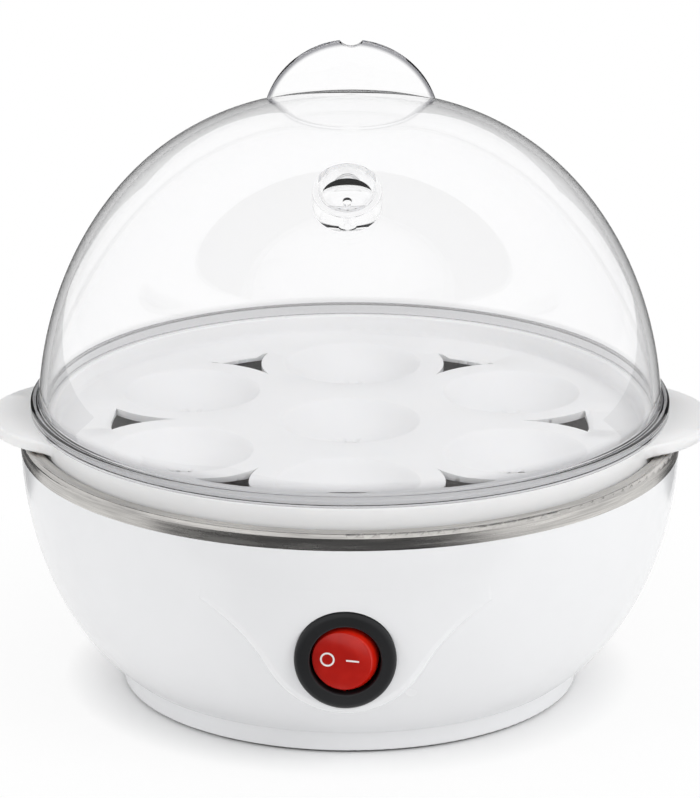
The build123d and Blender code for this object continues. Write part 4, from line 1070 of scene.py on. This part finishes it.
def floor_material():
    """White floor that keeps the cooker's shadow near it, with a painted dark shadow under its foot ring, and is
    plain white further out.
    """
    material, tree, shader = start_material("floor", Roughness=0.6)
    place = add_node(tree, "ShaderNodeSeparateXYZ", {"Vector": object_place(tree)}).outputs
    squares = calculate(
        tree,
        "ADD",
        calculate(tree, "MULTIPLY", place["X"], place["X"]),
        calculate(tree, "MULTIPLY", place["Y"], place["Y"]),
    )
    radius = calculate(tree, "SQRT", squares)
    # Painted shadow: the floor's colour turns dark grey inside the foot ring, for a dark contact line.
    under = stretch(tree, radius, PAINTED_SHADOW_RADIUS, PAINTED_SHADOW_RADIUS + MM / 2, 1.0, 0.0)
    tree.links.new(blend_colours(tree, under, WHITE_PAPER, PAINTED_SHADOW_GREY), shader["Base Color"])
    near = stretch(tree, radius, FLOOR_CONTACT, FLOOR_NEAR, 0.0, FLOOR_NEAR_SHARE)
    away = stretch(tree, radius, FLOOR_NEAR, FLOOR_FAR, 0.0, 1.0 - FLOOR_NEAR_SHARE)
    fade = calculate(tree, "MULTIPLY", calculate(tree, "ADD", near, away), seen_rays(tree))
    whiten(tree, fade)
    return material


def lay_floor():
    """Wide round floor under the cooker."""
    bpy.ops.object.select_all(action="DESELECT")
    bpy.ops.mesh.primitive_circle_add(vertices=FLOOR_STEPS, radius=FLOOR_RADIUS, fill_type="NGON")
    floor = bpy.context.object
    floor.name = "floor"
    floor.data.materials.append(floor_material())


def lay_card(name, width, depth, place, upright=False):
    """Dark card out of the camera's sight, for the steel and the clear plastic to reflect."""
    bpy.ops.object.select_all(action="DESELECT")
    turn = (math.pi / 2, 0, 0) if upright else (0, 0, 0)
    bpy.ops.mesh.primitive_plane_add(size=1.0, location=place, rotation=turn)
    card = bpy.context.object
    card.name = name
    card.scale = (width, depth, 1.0)
    material, tree, _ = start_material(name, Base_Color=CARD_COLOUR, Roughness=0.9)
    whiten(tree, add_node(tree, "ShaderNodeLightPath").outputs["Is Transmission Ray"])
    card.data.materials.append(material)
    card.visible_camera = False
    card.visible_transmission = False
    card.visible_diffuse = False
    card.visible_shadow = False


def lay_cards():
    """One card on the floor in front, one on each side of the view, and one standing behind it."""
    middle = ((CARD_LEFT + CARD_RIGHT) / 2, (CARD_FRONT + CARD_BACK) / 2, CARD_HEIGHT)
    lay_card("front card", CARD_RIGHT - CARD_LEFT, CARD_BACK - CARD_FRONT, middle)
    across = (FLAG_INNER + FLAG_OUTER) / 2
    for name, side in (("left flag", -across), ("right flag", across)):
        place = (side, (FLAG_FRONT + FLAG_BACK) / 2, CARD_HEIGHT)
        lay_card(name, FLAG_OUTER - FLAG_INNER, FLAG_BACK - FLAG_FRONT, place)
    lay_card("back flag", 2 * FLAG_OUTER, FLAG_TOP, (0, FLAG_BACK, FLAG_TOP / 2), upright=True)


def hang_lamp(name, place, width, height, level):
    """Soft box aimed at the cooker."""
    lamp = bpy.data.lights.new(name, "AREA")
    lamp.shape = "RECTANGLE"
    lamp.size = width
    lamp.size_y = height
    aim = Vector((0, 0, solids_high.z / 2))
    lamp.energy = level * math.pi**2 * (Vector(place) - aim).length_squared
    hung = bpy.data.objects.new(name, lamp)
    bpy.context.collection.objects.link(hung)
    hung.location = place
    hung.rotation_euler = (Vector(place) - aim).to_track_quat("Z", "Y").to_euler()
    hung.visible_camera = False
    hung.visible_transmission = False
    hung.visible_glossy = False


def stand_camera():
    """Camera at the photograph's place."""
    camera = bpy.data.cameras.new("camera")
    camera.lens = CAMERA_LENS
    camera.sensor_width = CAMERA_SENSOR
    stand = bpy.data.objects.new("camera", camera)
    bpy.context.collection.objects.link(stand)
    level = math.cos(CAMERA_HEIGHT_ANGLE)
    rise = math.sin(CAMERA_HEIGHT_ANGLE)
    back = Vector((level * math.sin(CAMERA_TURN), -level * math.cos(CAMERA_TURN), rise))
    stand.location = Vector((0, 0, CAMERA_AIM_Z)) + back * CAMERA_DISTANCE
    stand.rotation_euler = back.to_track_quat("Z", "Y").to_euler()
    bpy.context.scene.camera = stand


MARK_PAINT = mark_paint()
finish_solids()
clear_lid()
open_tray()
rocker_piece()
round_mark()
line_mark()
lay_floor()
lay_cards()
light_world()
for lamp_values in LAMPS:
    hang_lamp(*lamp_values)
stand_camera()
bpy.context.scene.view_settings.view_transform = "Standard"
